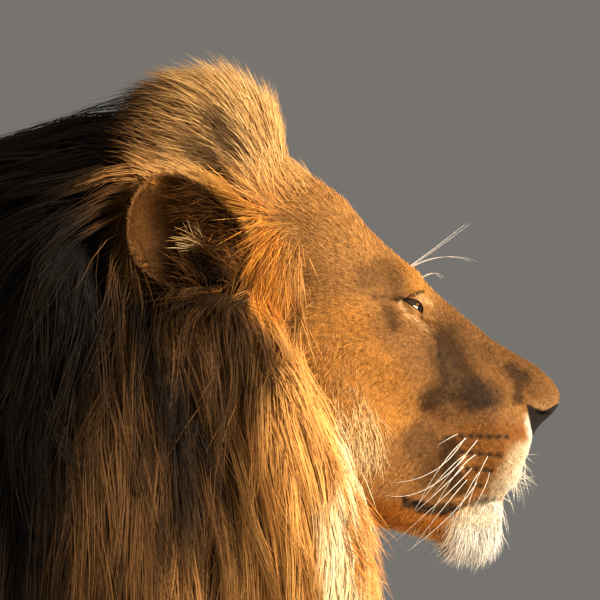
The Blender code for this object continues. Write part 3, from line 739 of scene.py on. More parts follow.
# Where the dark of the mane begins, and where its brown does: x at each z.
DARK_EDGE = ((-0.6, -0.3), (-0.45, -0.36), (-0.3, -0.39), (-0.211, -0.37), (-0.103, -0.345), (-0.049, -0.322),
             (0.005, -0.31), (0.092, -0.305), (0.157, -0.296), (0.189, -0.274), (0.232, -0.268), (0.3, -0.26))
BROWN_EDGE = ((-0.6, -0.22), (-0.32, -0.205), (-0.25, -0.192), (-0.19, -0.176), (-0.1, -0.166),
              (-0.03, -0.158),
              (0.02, -0.165), (0.06, -0.3), (0.3, -0.3))
# Lines in side view that parts of the mane lie along: (x, z).
SHADOW_GAP_LINE = ((-0.283, 0.027), (-0.262, -0.05), (-0.232, -0.14))  # painted shadow: a dark band behind the ear's lower part, between the locks
PALE_LINE = ((-0.072, -0.185), (-0.074, -0.25), (-0.06, -0.33))
HEM_LINE = ((-0.078, -0.285), (-0.066, -0.35))
RUFF_LINE = ((-0.07, -0.105), (-0.049, -0.155))
RUST_LINE = ((-0.145, 0.094), (-0.152, 0.055), (-0.156, 0.015))
FLAP_LINE = ((-0.16, 0.08), (-0.203, 0.117), (-0.238, 0.141), (-0.262, 0.148))
# Painted shade under the ear.
SHADE_UNDER_EAR = ((-0.215, -0.002), (-0.18, -0.02), (-0.172, -0.05))
# Spots where the crown's hair parts: its dark roots, with painted shade in the gaps.
DARK_SPOTS = (((-0.191, 0.185), (-0.18, 0.158)), ((-0.212, 0.16), (-0.196, 0.143)))


def edge_at(edge, z):
    return np.interp(z, [e[0] for e in edge], [e[1] for e in edge])


def mane_zones(p):
    """Light colour, dark colour and share of dark locks at points of the mane, with painted shade in some
    zones.
    """
    x, z = seen(p)[:, 0], p[:, 2]
    pale = close_to(p, PALE_LINE, 0.034, 0.012)
    pale = np.maximum(pale, close_to(p, HEM_LINE, 0.042, 0.018))
    pale = np.maximum(pale, close_to(p, RUFF_LINE, 0.028, 0.012))
    weights = (
        # The mane's brown middle: brown hair with painted shade.
        (TAUPE, ease(0.03, -0.034, x - edge_at(BROWN_EDGE, z))),
        (LOW, ease(-0.2, -0.27, z) * ease(-0.3, -0.22, x) * ease(-0.13, -0.15, x)),
        (CHEST, ease(-0.32, -0.44, z)),
        (FRONT, pale),
        (CROWN, ease(0.09, 0.15, z) * ease(-0.29, -0.21, x)),
        (SHADES, 0.8 * ease(0.12, 0.17, z) * ease(-0.205, -0.265, x)),
        (RUST, close_to(p, RUST_LINE, 0.022, 0.008)),
        # Where the crown's hair parts: dark roots with painted shade.
        (SHADES, sum(close_to(p, line, 0.014, 0.005) for line in DARK_SPOTS).clip(0, 0.85)),
        # Painted shade under the ear.
        (TAUPE, 0.9 * close_to(p, SHADE_UNDER_EAR, 0.042, 0.018)),
        # The mane's dark back: black-brown hair with painted shade.
        (DARK, ease(0.03, -0.03, x - edge_at(DARK_EDGE, z)) * ease(-0.62, -0.4, z)),
        (REAR, 0.9 * np.maximum(ease(-0.5, -0.7, x), ease(-0.2, -0.42, z) * ease(-0.38, -0.5, x))),
        # Painted shadow behind the ear's lower part.
        (DARK, 0.8 * close_to(p, SHADOW_GAP_LINE, 0.024, 0.006)),
    )
    light, dark, share = (np.broadcast_to(part, (len(p), *np.shape(part))) for part in GOLD)
    for zone, weight in weights:
        light = mix(light, zone[0], weight)
        dark = mix(dark, zone[1], weight)
        share = share * (1 - weight) + zone[2] * weight
    return light, dark, share


def mane_colour(p, pick):
    """Colour of a mane hair whose place in the mix of its zone is pick, from 0 to 1."""
    light, dark, share = mane_zones(p)
    return mix(light, dark, ease(-0.25, 0.25, share - pick))


# ---------------------------------------------------------------- materials
NOISE_LOW, NOISE_HIGH = 0.3, 0.7  # the part of a noise's range that its ramp spreads out


def set_inputs(node, **values):
    """Gives the node's inputs these values; _ in an input's name stands for a space."""
    for name, value in values.items():
        node.inputs[name.replace("_", " ")].default_value = value


def add_node(tree, kind, **values):
    """A new shader node with these values on its inputs."""
    node = tree.nodes.new("ShaderNode" + kind)
    set_inputs(node, **values)
    return node


def shaded_by_noise(tree, colour, place_at, low, high, **noise_values):
    """colour, an output socket, made darker and lighter by a noise, from low to high times."""
    noise = add_node(tree, "TexNoise", **noise_values)
    tree.links.new(place_at, noise.inputs["Vector"])
    ramp = add_node(tree, "MapRange", From_Min=NOISE_LOW, From_Max=NOISE_HIGH, To_Min=low, To_Max=high)
    tree.links.new(noise.outputs["Fac"], ramp.inputs["Value"])
    product = add_node(tree, "VectorMath")
    product.operation = "SCALE"
    tree.links.new(colour, product.inputs[0])
    tree.links.new(ramp.outputs["Result"], product.inputs["Scale"])
    return product.outputs["Vector"]


def hair_material(name, roughness, speckle):
    """Fur: its own colour from the mesh, broken up by fine noise, with a soft shine."""
    material = bpy.data.materials.new(name)
    material.use_nodes = True
    tree = material.node_tree
    shader = tree.nodes["Principled BSDF"]
    colour = add_node(tree, "Attribute")
    colour.attribute_name = "coat"
    place_at = add_node(tree, "TexCoord").outputs["Object"]
    broken = shaded_by_noise(tree, colour.outputs["Color"], place_at, 1 - speckle, 1 + speckle,
                             Scale=230.0, Detail=3.0)
    tree.links.new(broken, shader.inputs["Base Color"])
    set_inputs(shader, Roughness=roughness, Specular_IOR_Level=0.06, Sheen_Weight=0.0)
    return material


def skin_material():
    """Short flat fur with fine bump, mottled, and pebbled leather where the skin is bare."""
    material = hair_material("fur_ground", 0.7, 0.24)
    tree = material.node_tree
    shader = tree.nodes["Principled BSDF"]
    set_inputs(shader, Specular_IOR_Level=0.05)
    place_at = add_node(tree, "TexCoord").outputs["Object"]
    bare = add_node(tree, "Attribute")
    bare.attribute_name = "bare"
    fine = add_node(tree, "TexNoise", Scale=420.0, Detail=4.0)
    pebble = add_node(tree, "TexVoronoi", Scale=620.0)
    for texture in (fine, pebble):
        tree.links.new(place_at, texture.inputs["Vector"])
    plain = shader.inputs["Base Color"].links[0].from_socket
    mottled = shaded_by_noise(tree, plain, place_at, 0.78, 1.14, Scale=9.0, Detail=8.0, Roughness=0.72)
    tree.links.new(mottled, shader.inputs["Base Color"])
    blend = add_node(tree, "Mix")
    tree.links.new(bare.outputs["Fac"], blend.inputs["Factor"])
    tree.links.new(fine.outputs["Fac"], blend.inputs["A"])
    tree.links.new(pebble.outputs["Distance"], blend.inputs["B"])
    bump = add_node(tree, "Bump", Strength=0.7, Distance=0.0016)
    tree.links.new(blend.outputs["Result"], bump.inputs["Height"])
    tree.links.new(bump.outputs["Normal"], shader.inputs["Normal"])
    gloss = add_node(tree, "MapRange", To_Min=0.66, To_Max=0.5)
    tree.links.new(bare.outputs["Fac"], gloss.inputs["Value"])
    tree.links.new(gloss.outputs["Result"], shader.inputs["Roughness"])
    return material


def write_colour(mesh, colours):
    """The colours that hair_material reads, one for each vertex."""
    attribute = mesh.attributes.new("coat", "FLOAT_COLOR", "POINT")
    attribute.data.foreach_set("color", np.c_[colours, np.ones(len(colours))].astype(np.float32).ravel())


def write_bare(mesh, values):
    """How bare each vertex is, which skin_material reads."""
    attribute = mesh.attributes.new("bare", "FLOAT", "POINT")
    attribute.data.foreach_set("value", np.asarray(values, np.float32))


# ---------------------------------------------------------------- hair as mesh
def strand_arrays(spine, side, width, thick, colour, facing):
    """Closed tapering strands: vertices, triangles, colours, the strands' own normals and the skin's.

    spine, colour and facing are (n, k + 1, 3); width and thick are (n, k), half sizes at each ring.
    """
    n, stations, _ = spine.shape
    k = stations - 1
    tangent = unit(np.gradient(spine, axis=1))
    across = unit(side[:, None, :] - tangent * np.sum(side[:, None, :] * tangent, axis=2, keepdims=True))
    out = np.cross(tangent, across)
    rings, round_normals = [], []
    for angle in (90, 210, 330):
        c, s = math.cos(math.radians(angle)), math.sin(math.radians(angle))
        corner = spine[:, :k] + across[:, :k] * (c * width)[..., None]
        rings.append(corner + out[:, :k] * (s * thick)[..., None])
        round_normals.append(across[:, :k] * c + out[:, :k] * s)
    ring = np.stack(rings, axis=2).reshape(n, 3 * k, 3)
    vertices = np.concatenate([ring, spine[:, k:]], axis=1)
    round_normal = np.stack(round_normals, axis=2).reshape(n, 3 * k, 3)
    round_normal = np.concatenate([round_normal, facing[:, k:]], axis=1)
    skin_normal = np.concatenate([np.repeat(facing[:, :k], 3, axis=1), facing[:, k:]], axis=1)
    faces = [(0, 2, 1)]
    for i in range(k - 1):
        for j in range(3):
            a, b = 3 * i + j, 3 * i + (j + 1) % 3
            faces += [(a, b, a + 3), (b, b + 3, a + 3)]
    last = 3 * (k - 1)
    faces += [(last + j, last + (j + 1) % 3, 3 * k) for j in range(3)]
    faces = np.array(faces)
    count = 3 * k + 1
    triangles = (faces[None] + (np.arange(n) * count)[:, None, None]).reshape(-1, 3)
    shades = np.concatenate([np.repeat(colour[:, :k], 3, axis=1), colour[:, k:]], axis=1)
    return (vertices.reshape(-1, 3), triangles, shades.reshape(-1, 3), round_normal.reshape(-1, 3),
            skin_normal.reshape(-1, 3))


PATCH = 0.003  # size of each strand's patch on the bake map


def strand_patches(k, place_at):
    """Each strand's own small patch of the bake map, at its root's place on the map."""
    local = [((j - 1) / 2, i / k) for i in range(k) for j in range(3)] + [(0.0, 1.0)]
    local = (np.array(local) - np.array((0.0, 0.5))) * PATCH
    return (place_at[:, None, :] + local[None]).reshape(-1, 2)


def unwrapped(points, axis):
    """Places of points on the unit square: along the body's axis x or z, and the angle round it."""
    if axis == "x":
        angle = np.arctan2(points[:, 1], points[:, 2] - np.median(points[:, 2]))
        along = points[:, 0]
    else:
        angle = np.arctan2(points[:, 1] - np.median(points[:, 1]), points[:, 0] - np.median(points[:, 0]))
        along = points[:, 2]
    flat = np.c_[along, angle]
    low, high = flat.min(0), flat.max(0)
    return 0.01 + 0.98 * (flat - low) / np.maximum(high - low, 1e-6)


def add_coat(name, parts, axis, material, softness=0.45):
    """One coat piece of these strand sets; each is (spine, side, width, thick, colour, facing).

    softness says how far its shading follows the skin under it rather than each hair's own roundness.
    """
    vertices, triangles, colours, maps, normals = [], [], [], [], []
    start = 0
    roots = np.concatenate([part[0][:, 0] for part in parts])
    places = unwrapped(roots, axis)
    used = 0
    for part in parts:
        v, t, c, own, under = strand_arrays(*part)
        n, k = len(part[0]), part[0].shape[1] - 1
        vertices.append(v)
        triangles.append(t + start)
        colours.append(c)
        normals.append(unit(own * (1 - softness) + under * softness))
        maps.append(strand_patches(k, places[used:used + n]))
        start += len(v)
        used += n
    triangles = np.concatenate(triangles)
    obj = fast_object(name, np.concatenate(vertices) + ORIGIN, triangles)
    write_colour(obj.data, np.clip(np.concatenate(colours), 0.002, 1.0))
    obj.data.normals_split_custom_set_from_vertices(np.concatenate(normals).astype(np.float32))
    layer = obj.data.uv_layers.new(name="OFBake")
    layer.data.foreach_set("uv", np.concatenate(maps)[triangles.ravel()].astype(np.float32).ravel())
    obj.data.materials.append(material)
    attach(obj, "root")
    print(name, len(triangles), "triangles")
    return obj


# ---------------------------------------------------------------- surfaces that hair grows on
class Surface:
    """A mesh, with places given from the eye line, that hair follows."""

    def __init__(self, mesh):
        self.co = vertices_of(mesh) - ORIGIN
        self.triangles = triangles_of(mesh)
        self.normals = normals_of(mesh)
        self.tree = tree_of(self.co, self.triangles)
        corners = self.co[self.triangles]
        across = np.cross(corners[:, 1] - corners[:, 0], corners[:, 2] - corners[:, 0])
        self.areas = np.linalg.norm(across, axis=1) / 2
        self.centres = corners.mean(axis=1)

    def sample(self, count, weight):
        """count random points, thicker where weight, one number for each triangle, is larger."""
        share = self.areas * weight
        chosen = rng.choice(len(share), count, p=share / share.sum())
        a, b = rng.random(count), rng.random(count)
        flip = a + b > 1
        a[flip], b[flip] = 1 - a[flip], 1 - b[flip]
        corners = self.triangles[chosen]
        mixed = [1 - a - b, a, b]
        points = sum(self.co[corners[:, i]] * mixed[i][:, None] for i in range(3))
        normals = unit(sum(self.normals[corners[:, i]] * mixed[i][:, None] for i in range(3)))
        return points, normals

    def nearest(self, points):
        """The nearest points of the surface, and its smooth normals there."""
        found = np.empty_like(points)
        index = np.empty(len(points), int)
        for i, point in enumerate(points):
            hit, _, face, _ = self.tree.find_nearest(point)
            found[i] = hit
            index[i] = face
        corners = self.triangles[index]
        gaps = np.linalg.norm(self.co[corners] - found[:, None], axis=2) + 1e-5
        weight = 1 / gaps
        weight /= weight.sum(axis=1, keepdims=True)
        return found, unit((self.normals[corners] * weight[..., None]).sum(axis=1))


def flow_at(points, anchors):
    """Direction and length of hair at points of either side, from rows of (x, z, dx, dz, length)."""
    table = np.array(anchors)
    points = seen(points)
    gap = (points[:, None, 0] - table[None, :, 0]) ** 2 + (points[:, None, 2] - table[None, :, 1]) ** 2
    weight = 1 / (gap + 0.0004) ** 1.5
    weight /= weight.sum(axis=1, keepdims=True)
    direction = np.zeros((len(points), 3))
    direction[:, 0] = weight @ table[:, 2]
    direction[:, 2] = weight @ table[:, 3]
    return unit(direction), weight @ table[:, 4]


def laid(direction, normal):
    """direction turned to lie in the surface."""
    return unit(direction - normal * np.sum(direction * normal, axis=1, keepdims=True))


def turned(direction, normal, angle):
    """direction turned in the surface by angle, one for each."""
    c, s = np.cos(angle)[:, None], np.sin(angle)[:, None]
    return direction * c + np.cross(normal, direction) * s


LOCK_RADIUS = 0.011  # half width of a lock of the mane at its root
GATHER = 0.5  # the share of that width that is gone at its tip
WAVE, STRAY = 0.0022, 0.0035  # how far its strands wave, and part from each other
FINE_LOCKS, OVER_LOCKS, BROAD_LOCKS = (480, 14), (300, 11), (270, 11)  # locks, strands in each, for one side
LOOSE_HAIRS = 600
HEM_TOP = -0.3  # below this height from the eye line, the mane hangs free of the chest


def stream(surface, roots, normals, lengths, flow, turn, stations):
    """Lines that run from roots along the flow over the surface: points and normals, (n, stations, 3)."""
    line = [roots]
    outs = [normals]
    step = (lengths / (stations - 1))[:, None]
    point, normal = roots, normals
    falls = np.zeros((len(roots), 1))
    for _ in range(stations - 1):
        ahead = turned(laid(flow(point), normal), normal, turn)
        on_surface, found = surface.nearest(point + ahead * step)
        # Where the surface turns away below, the hair leaves it and hangs.
        falls = np.maximum(falls, ease(-0.1, -0.55, found[:, 2:]) * (on_surface[:, 2:] < HEM_TOP))
        hanging = point + unit(ahead * 0.5 + np.array((0.0, 0.0, -1.0))) * step
        point = on_surface * (1 - falls) + hanging * falls
        normal = unit(normal + 2 * found * (1 - falls))
        line.append(point)
        outs.append(normal)
    return np.stack(line, axis=1), np.stack(outs, axis=1)


# Lie of the mane in side view: x, z, its direction's x and z, its length.
MANE_FLOW = (
    (-0.115, 0.13, -0.35, 0.94, 0.085), (-0.132, 0.167, -0.5, 0.86, 0.1),
    (-0.143, 0.113, -0.45, 0.9, 0.075), (-0.19, 0.112, -0.85, 0.5, 0.06),
    (-0.215, 0.14, -0.92, 0.4, 0.08), (-0.175, 0.221, -0.8, 0.45, 0.12),
    (-0.218, 0.258, -0.95, 0.3, 0.13), (-0.283, 0.221, -1.0, -0.05, 0.17),
    (-0.38, 0.178, -0.95, -0.25, 0.2), (-0.423, 0.135, -0.9, -0.4, 0.22),
    (-0.258, 0.163, -0.9, 0.25, 0.12), (-0.337, 0.113, -0.75, -0.65, 0.19),
    (-0.38, 0.005, -0.3, -0.95, 0.23), (-0.31, 0.03, -0.25, -0.97, 0.22),
    (-0.256, -0.044, 0.1, -1.0, 0.22), (-0.218, -0.211, 0.22, -0.97, 0.23),
    (-0.132, 0.02, 0.02, -1.0, 0.11), (-0.145, 0.06, -0.02, -1.0, 0.09),
    (-0.15, 0.085, -0.2, -0.8, 0.06), (-0.14, -0.03, -0.1, -1.0, 0.14),
    (-0.158, -0.056, -0.25, -0.95, 0.17), (-0.108, -0.106, 0.3, -0.95, 0.15),
    (-0.089, -0.135, 0.38, -0.92, 0.12), (-0.065, -0.157, 0.12, -1.0, 0.11),
    (-0.067, -0.275, 0.25, -0.97, 0.18), (-0.03, -0.286, 0.45, -0.89, 0.15),
    (-0.175, -0.211, 0.18, -0.98, 0.23), (-0.315, -0.157, -0.02, -1.0, 0.24),
    (-0.38, -0.211, 0.05, -1.0, 0.24), (-0.44, -0.3, -0.05, -1.0, 0.24), (-0.1, -0.4, 0.1, -1.0, 0.2),
    (-0.15, -0.52, -0.2, -0.98, 0.17), (-0.35, -0.4, -0.15, -0.98, 0.23),
    (-0.55, -0.35, -0.5, -0.86, 0.22), (-0.65, -0.15, -0.75, -0.6, 0.2),
    (-0.5, 0.08, -0.92, -0.35, 0.23), (-0.7, -0.02, -0.95, -0.25, 0.18),
    (-0.6, -0.48, -0.6, -0.8, 0.18), (-0.4, -0.56, -0.4, -0.9, 0.18), (-0.8, -0.15, -0.9, -0.4, 0.15),
    (-0.25, -0.6, -0.3, -0.95, 0.15),
)
EAR_MIDDLE, EAR_REACH = (-0.24, 0.076), (0.054, 0.057)  # the ear's opening in side view, and its half sizes


def mane_flow(points):
    return flow_at(points, MANE_FLOW)[0]


def short_mane(points):
    """1 on the crown and beside the ear's upper edge, where the mane is short and dense."""
    x = seen(points)[:, 0]
    return ease(0.05, 0.085, points[:, 2]) * ease(-0.33, -0.27, x)


def in_ear(points, grow=1.0):
    """Whether points lie over the ear's opening in side view."""
    x = (seen(points)[..., 0] - EAR_MIDDLE[0]) / (EAR_REACH[0] * grow)
    z = (points[..., 2] - EAR_MIDDLE[1]) / (EAR_REACH[1] * grow)
    return (x**2 + z**2 < 1) & (np.abs(points[..., 1]) > 0.06)


THROAT_LINE = ((-0.062, -0.2), (-0.058, -0.26), (-0.05, -0.34))  # the mane's front edge below the cheek
EAR_FRONT = ((-0.13, 0.08), (-0.128, 0.0), (-0.133, -0.06))  # the long golden hair before the ear
# Where the mane begins beside the face: x at each z.
FRONT_EDGE = ((-0.25, -0.03), (-0.157, -0.052), (-0.124, -0.082), (-0.06, -0.12), (0.005, -0.132),
              (0.081, -0.137),
              (0.146, -0.125), (0.2, -0.14))


def mane_weight(surface, fine):
    """How thickly the mane's locks stand on each triangle: fine ones round the head, broad ones behind."""
    p = surface.centres
    owner = nearest_nodes(p + ORIGIN) == "neck_mane"
    behind = ease(-0.36, -0.5, p[:, 0]) * 0.85
    below = ease(-0.36, -0.5, p[:, 2]) * 0.85
    share = 1 - np.maximum(behind, below) * 1.1
    weight = share if fine else 1.03 - share
    x = seen(p)[:, 0]
    front = (x < edge_at(FRONT_EDGE, p[:, 2])) & (x > -0.2) & (np.abs(p[:, 1]) > 0.05)
    before_ear = close_to(p, RUST_LINE, 0.024, 0.01) + close_to(p, EAR_FRONT, 0.02, 0.008)
    return weight * (owner | front) * ~in_ear(p, 0.8) * (1 - 0.93 * short_mane(p)) * (1 + 2.2 * before_ear)


def comb(surface, count, per_lock, weight, size, stations, scale=1.0, depth=0.024, loose=1.0):
    """Locks of hair over the surface, as one strand set: (spine, side, width, thick, colour, facing).

    count locks of per_lock strands; size is a strand's half width; depth is how deep the roots lie.
    """
    def of_lock(values):
        return np.repeat(values, per_lock)[:, None, None]

    roots, normals = surface.sample(count, weight)
    length = flow_at(roots, MANE_FLOW)[1]
    length = length * scale * rng.uniform(0.75, 1.15, count)
    turn = rng.normal(0, 0.13 * loose, count)
    line, outs = stream(surface, roots, normals, length, mane_flow, turn, stations)
    n = count * per_lock
    line, outs = np.repeat(line, per_lock, 0), np.repeat(outs, per_lock, 0)
    share = np.linspace(0, 1, stations)[None, :, None]
    along = unit(np.gradient(line, axis=1))
    aside = np.cross(outs, along)
    radius = LOCK_RADIUS if per_lock > 1 else 0.0
    angle = rng.uniform(0, 2 * math.pi, n)
    spread = radius * np.sqrt(rng.random(n))
    a = (spread * np.cos(angle))[:, None, None]
    b = (0.45 * spread * np.sin(angle))[:, None, None]
    gather = 1 - GATHER * share**1.5
    # Roots start deep, the hair comes up to its own layer and stays there.
    layer = of_lock(rng.uniform(0.0005, 0.011, count)) + rng.uniform(0, 0.0015, (n, 1, 1))
    dive = depth * (1 - ease(0.0, 0.38, share)) + layer * ease(0.0, 0.38, share)
    wave_at = of_lock(rng.uniform(0, 6.3, count)) + rng.normal(0, 0.35, (n, 1, 1))
    wave = WAVE * loose * share * np.sin(wave_at + share * of_lock(rng.uniform(4, 9, count)))
    stray = rng.normal(0, STRAY * loose, (n, 1, 1)) * share**2
    spine = line + aside * (a * gather + wave + stray) - outs * (dive + b * gather)
    # Each strand ends at its own length.
    cut = rng.uniform(0.8, 1.0, n)
    spine = resampled(spine, cut)
    taper = np.linspace(0, 1, stations)[:-1][None]
    body = (0.55 + 0.75 * ease(0.0, 0.25, taper)) * (1 - 0.8 * taper**2.2)
    width = size * rng.uniform(0.75, 1.25, (n, 1)) * body
    thick = width * 0.55
    pick = np.repeat(rng.random(count), per_lock) + rng.normal(0, 0.1, n)
    base = np.repeat(0.6 * roots, per_lock, 0)[:, None] + 0.4 * spine
    colour = mane_colour(base.reshape(-1, 3), np.repeat(pick, stations)).reshape(n, stations, 3)
    root_shade = 0.45 + 0.55 * ease(0.05, 0.45, share)
    glow = 1 + rng.normal(0, 0.1, (n, 1, 1)) + of_lock(rng.normal(0, 0.1, count))
    colour = colour * root_shade * np.clip(glow, 0.5, 1.6)
    side = unit(aside[:, 0] + 0.25 * rng.normal(0, 1, (n, 3)))
    facing = unit(outs + 0.15 * rng.normal(0, 1, (n, 1, 3)))
    spine, keep = clear_of_ear(spine)
    return spine[keep], side[keep], width[keep], thick[keep], colour[keep], facing[keep]


def resampled(spine, cut):
    """The first part of each spine, cut being the share that stays."""
    stations = spine.shape[1]
    at = np.linspace(0, 1, stations)[None] * cut[:, None] * (stations - 1)
    low = np.minimum(at.astype(int), stations - 2)
    part = (at - low)[..., None]
    rows = np.arange(len(spine))[:, None]
    return spine[rows, low] * (1 - part) + spine[rows, low + 1] * part


def clear_of_ear(spine):
    """Ends each strand where it would cross the ear's opening, and says which are long enough to keep."""
    over = in_ear(spine)
    first = np.where(over.any(axis=1), over.argmax(axis=1), spine.shape[1])
    cut = np.clip((first - 1) / (spine.shape[1] - 1), 0, 1)
    return resampled(spine, cut), cut > 0.28


def flyaways(surface, count, weight, stations):
    """Single fine hairs that stand off the mane."""
    hairs = comb(surface, count, 1, weight, 0.0003, stations, scale=0.8, loose=2.2)
    spine, side, width, thick, colour, facing = hairs
    share = np.linspace(0, 1, stations)[None, :, None]
    lift = rng.uniform(0.002, 0.012, (len(spine), 1, 1)) * share**1.6
    out = unit(spine - np.array((-0.28, 0, -0.1)))
    spine = spine + out * lift
    return spine, side, width, thick, np.clip(colour * 1.25, 0, 1), facing


# Lie of the short fur of the head in side view: x, z, its direction's x and z, its length.
FUR_FLOW = (
    (0.15, -0.095, -0.6, 0.7, 0.0045), (0.11, -0.065, -0.8, 0.6, 0.0055),
    (0.05, -0.01, -0.78, 0.62, 0.0065), (0.0, 0.045, -0.72, 0.7, 0.008),
    (-0.06, 0.1, -0.66, 0.75, 0.011), (-0.1, 0.15, -0.55, 0.83, 0.015),
    (0.12, -0.12, -0.85, -0.1, 0.004), (0.08, -0.095, -0.95, -0.1, 0.0055),
    (0.03, -0.05, -0.9, -0.2, 0.0065), (-0.02, -0.02, -0.95, -0.15, 0.007),
    (-0.06, 0.02, -0.9, 0.1, 0.009), (-0.09, 0.07, -0.7, 0.5, 0.012),
    (0.02, -0.11, -0.85, -0.45, 0.0075), (-0.04, -0.09, -0.75, -0.6, 0.0095),
    (-0.08, -0.06, -0.75, -0.6, 0.013), (-0.1, 0.0, -0.8, -0.4, 0.013),
    (0.12, -0.16, -0.6, -0.75, 0.0045), (0.08, -0.16, -0.88, -0.4, 0.005),
    (0.04, -0.17, -0.88, -0.45, 0.0065), (-0.01, -0.16, -0.8, -0.6, 0.009),
    (-0.05, -0.18, -0.6, -0.8, 0.012), (0.085, -0.22, -0.45, -0.85, 0.011),
    (0.05, -0.245, -0.6, -0.75, 0.013), (0.0, -0.235, -0.85, -0.45, 0.011),
    (-0.05, -0.24, -0.8, -0.55, 0.013),
)


def fur_flow(points):
    return flow_at(points, FUR_FLOW)[0]


def body_flow(points):
    """Lie of the body's fur: back along the trunk, down the legs and the tail."""
    height = points[:, 2] + EYE_LINE.z
    down = np.clip(ease(0.75, 0.5, height), 0, 1)
    tail = ease(-1.68, -1.74, points[:, 0]) * ease(0.3, 0.4, height)
    down = np.maximum(down, tail)[:, None]
    back = np.array((-0.93, 0, -0.36))
    direction = back * (1 - down) + np.array((-0.25, 0, -0.97)) * down
    foot = ease(0.1, 0.04, height)[:, None]
    direction = direction * (1 - foot) + np.array((0.95, 0, -0.25)) * foot
    return unit(direction)


DARK_TUFTS = 0.22  # the share of dark ones among the tufts of short fur


def spikes(surface, count, weight, flow, length_at, size, colour_at, rise=0.22, sink=0.0012, speck=0.42,
           vary=0.34, root=0.86, tip_glow=1.55):
    """Small single tufts of short fur, four triangles each, as one strand set.

    rise is how far they stand off, sink how deep they start, speck how dark the dark ones are, vary how
    much they differ, and root and tip_glow how bright their two ends are.
    """
    roots, normals = surface.sample(count, weight)
    ahead = turned(laid(flow(roots), normals), normals, rng.normal(0, 0.22, count))
    length = (length_at(roots) * rng.uniform(0.7, 1.25, count))[:, None]
    lift = rng.normal(rise, 0.07, (count, 1))
    tip = roots + unit(ahead + normals * lift) * length
    spine = np.stack([roots - normals * sink, tip], axis=1)
    width = (size * rng.uniform(0.7, 1.3, count))[:, None]
    place_at = 0.5 * roots + 0.5 * tip + rng.normal(0, 0.0008, (count, 3))
    colour = colour_at(place_at) * rng.normal(1.0, vary, (count, 1))
    dark = rng.random((count, 1)) < DARK_TUFTS
    colour = np.where(dark, colour * speck, colour)
    colour = np.stack([colour * root, colour * tip_glow], axis=1)
    side = np.cross(normals, ahead)
    facing = unit(normals + 0.18 * rng.normal(0, 1, (count, 3)))
    return spine, side, width, width * 0.6, colour, np.repeat(facing[:, None], 2, 1)


# ---------------------------------------------------------------- eyes and lid rims
GAZE = (0.86, 0.49, 0.1)  # where the left eye looks
# Angles from the gaze in degrees, from where a part of the eye's colour is nothing to where it is full.
CORNEA, PUPIL, IRIS, IRIS_GLOW = (28, 8), (16.5, 15), (34, 31), (32, 16)
IRIS_RIM_INNER, IRIS_RIM_OUTER = (27, 31), (36, 33)
EYE_WHITE, PUPIL_BLACK = (0.035, 0.022, 0.016), (0.003, 0.003, 0.004)
IRIS_DARK, IRIS_LIGHT = (0.06, 0.026, 0.008), (0.2, 0.09, 0.022)


def add_eye(side):
    """One eyeball with its cornea's bulge, and its pupil and iris in the mesh's colours."""
    name = "eye_" + SIDES[side]
    gaze = unit(np.array((GAZE[0], GAZE[1] * side, GAZE[2])))
    bm = bmesh.new()
    bmesh.ops.create_uvsphere(bm, u_segments=64, v_segments=72, radius=EYE_RADIUS)
    mesh = bpy.data.meshes.new(name + "ball")
    bm.to_mesh(mesh)
    bm.free()
    turn = Vector((0, 0, 1)).rotation_difference(Vector(gaze)).to_matrix()
    co = vertices_of(mesh) @ np.array(turn).T
    cosine = unit(co) @ gaze
    angle = np.degrees(np.arccos(np.clip(cosine, -1, 1)))
    co = co * (1 + 0.045 * ease(*CORNEA, angle))[:, None]
    place(mesh, co + np.array(BALL_CENTRE) * (1, side, 1) + ORIGIN)
    for polygon in mesh.polygons:
        polygon.use_smooth = True
    around = np.arctan2(unit(co) @ np.cross(gaze, (0, 0, 1)), co[:, 2])
    streak = 0.5 + 0.5 * np.sin(around * 23 + 2 * np.sin(around * 7))
    iris = mix(IRIS_DARK, IRIS_LIGHT, streak * ease(*IRIS_GLOW, angle))
    colour = mix(EYE_WHITE, iris, ease(*IRIS, angle))
    colour = mix(colour, BLACK, ease(*IRIS_RIM_INNER, angle) * ease(*IRIS_RIM_OUTER, angle))
    colour = mix(colour, PUPIL_BLACK, ease(*PUPIL, angle))
    write_colour(mesh, colour)
    obj = linked(name + "ball", mesh)
    material = hair_material(name, 0.09, 0.06)
    shader = material.node_tree.nodes["Principled BSDF"]
    set_inputs(shader, Coat_Weight=0.35, Coat_Roughness=0.02, Specular_IOR_Level=0.25)
    mesh.materials.append(material)
    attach(obj, "root")
    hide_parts(name)


def ring_tube(points, radii, sides):
    """Vertices and triangles of a round tube along a closed ring of points."""
    n = len(points)
    tangent = unit(np.roll(points, -1, 0) - np.roll(points, 1, 0))
    across = unit(np.cross(tangent, (0.2, 0.9, 0.4)))
    out = np.cross(tangent, across)
    vertices = []
    for j in range(sides):
        angle = 2 * math.pi * j / sides
        vertices.append(points + (across * math.cos(angle) + out * math.sin(angle)) * radii[:, None])
    vertices = np.stack(vertices, axis=1).reshape(-1, 3)
    faces = []
    for i in range(n):
        for j in range(sides):
            a, b = i * sides + j, i * sides + (j + 1) % sides
            c, d = (a + sides) % (n * sides), (b + sides) % (n * sides)
            faces += [(a, b, c), (b, d, c)]
    return vertices, np.array(faces)


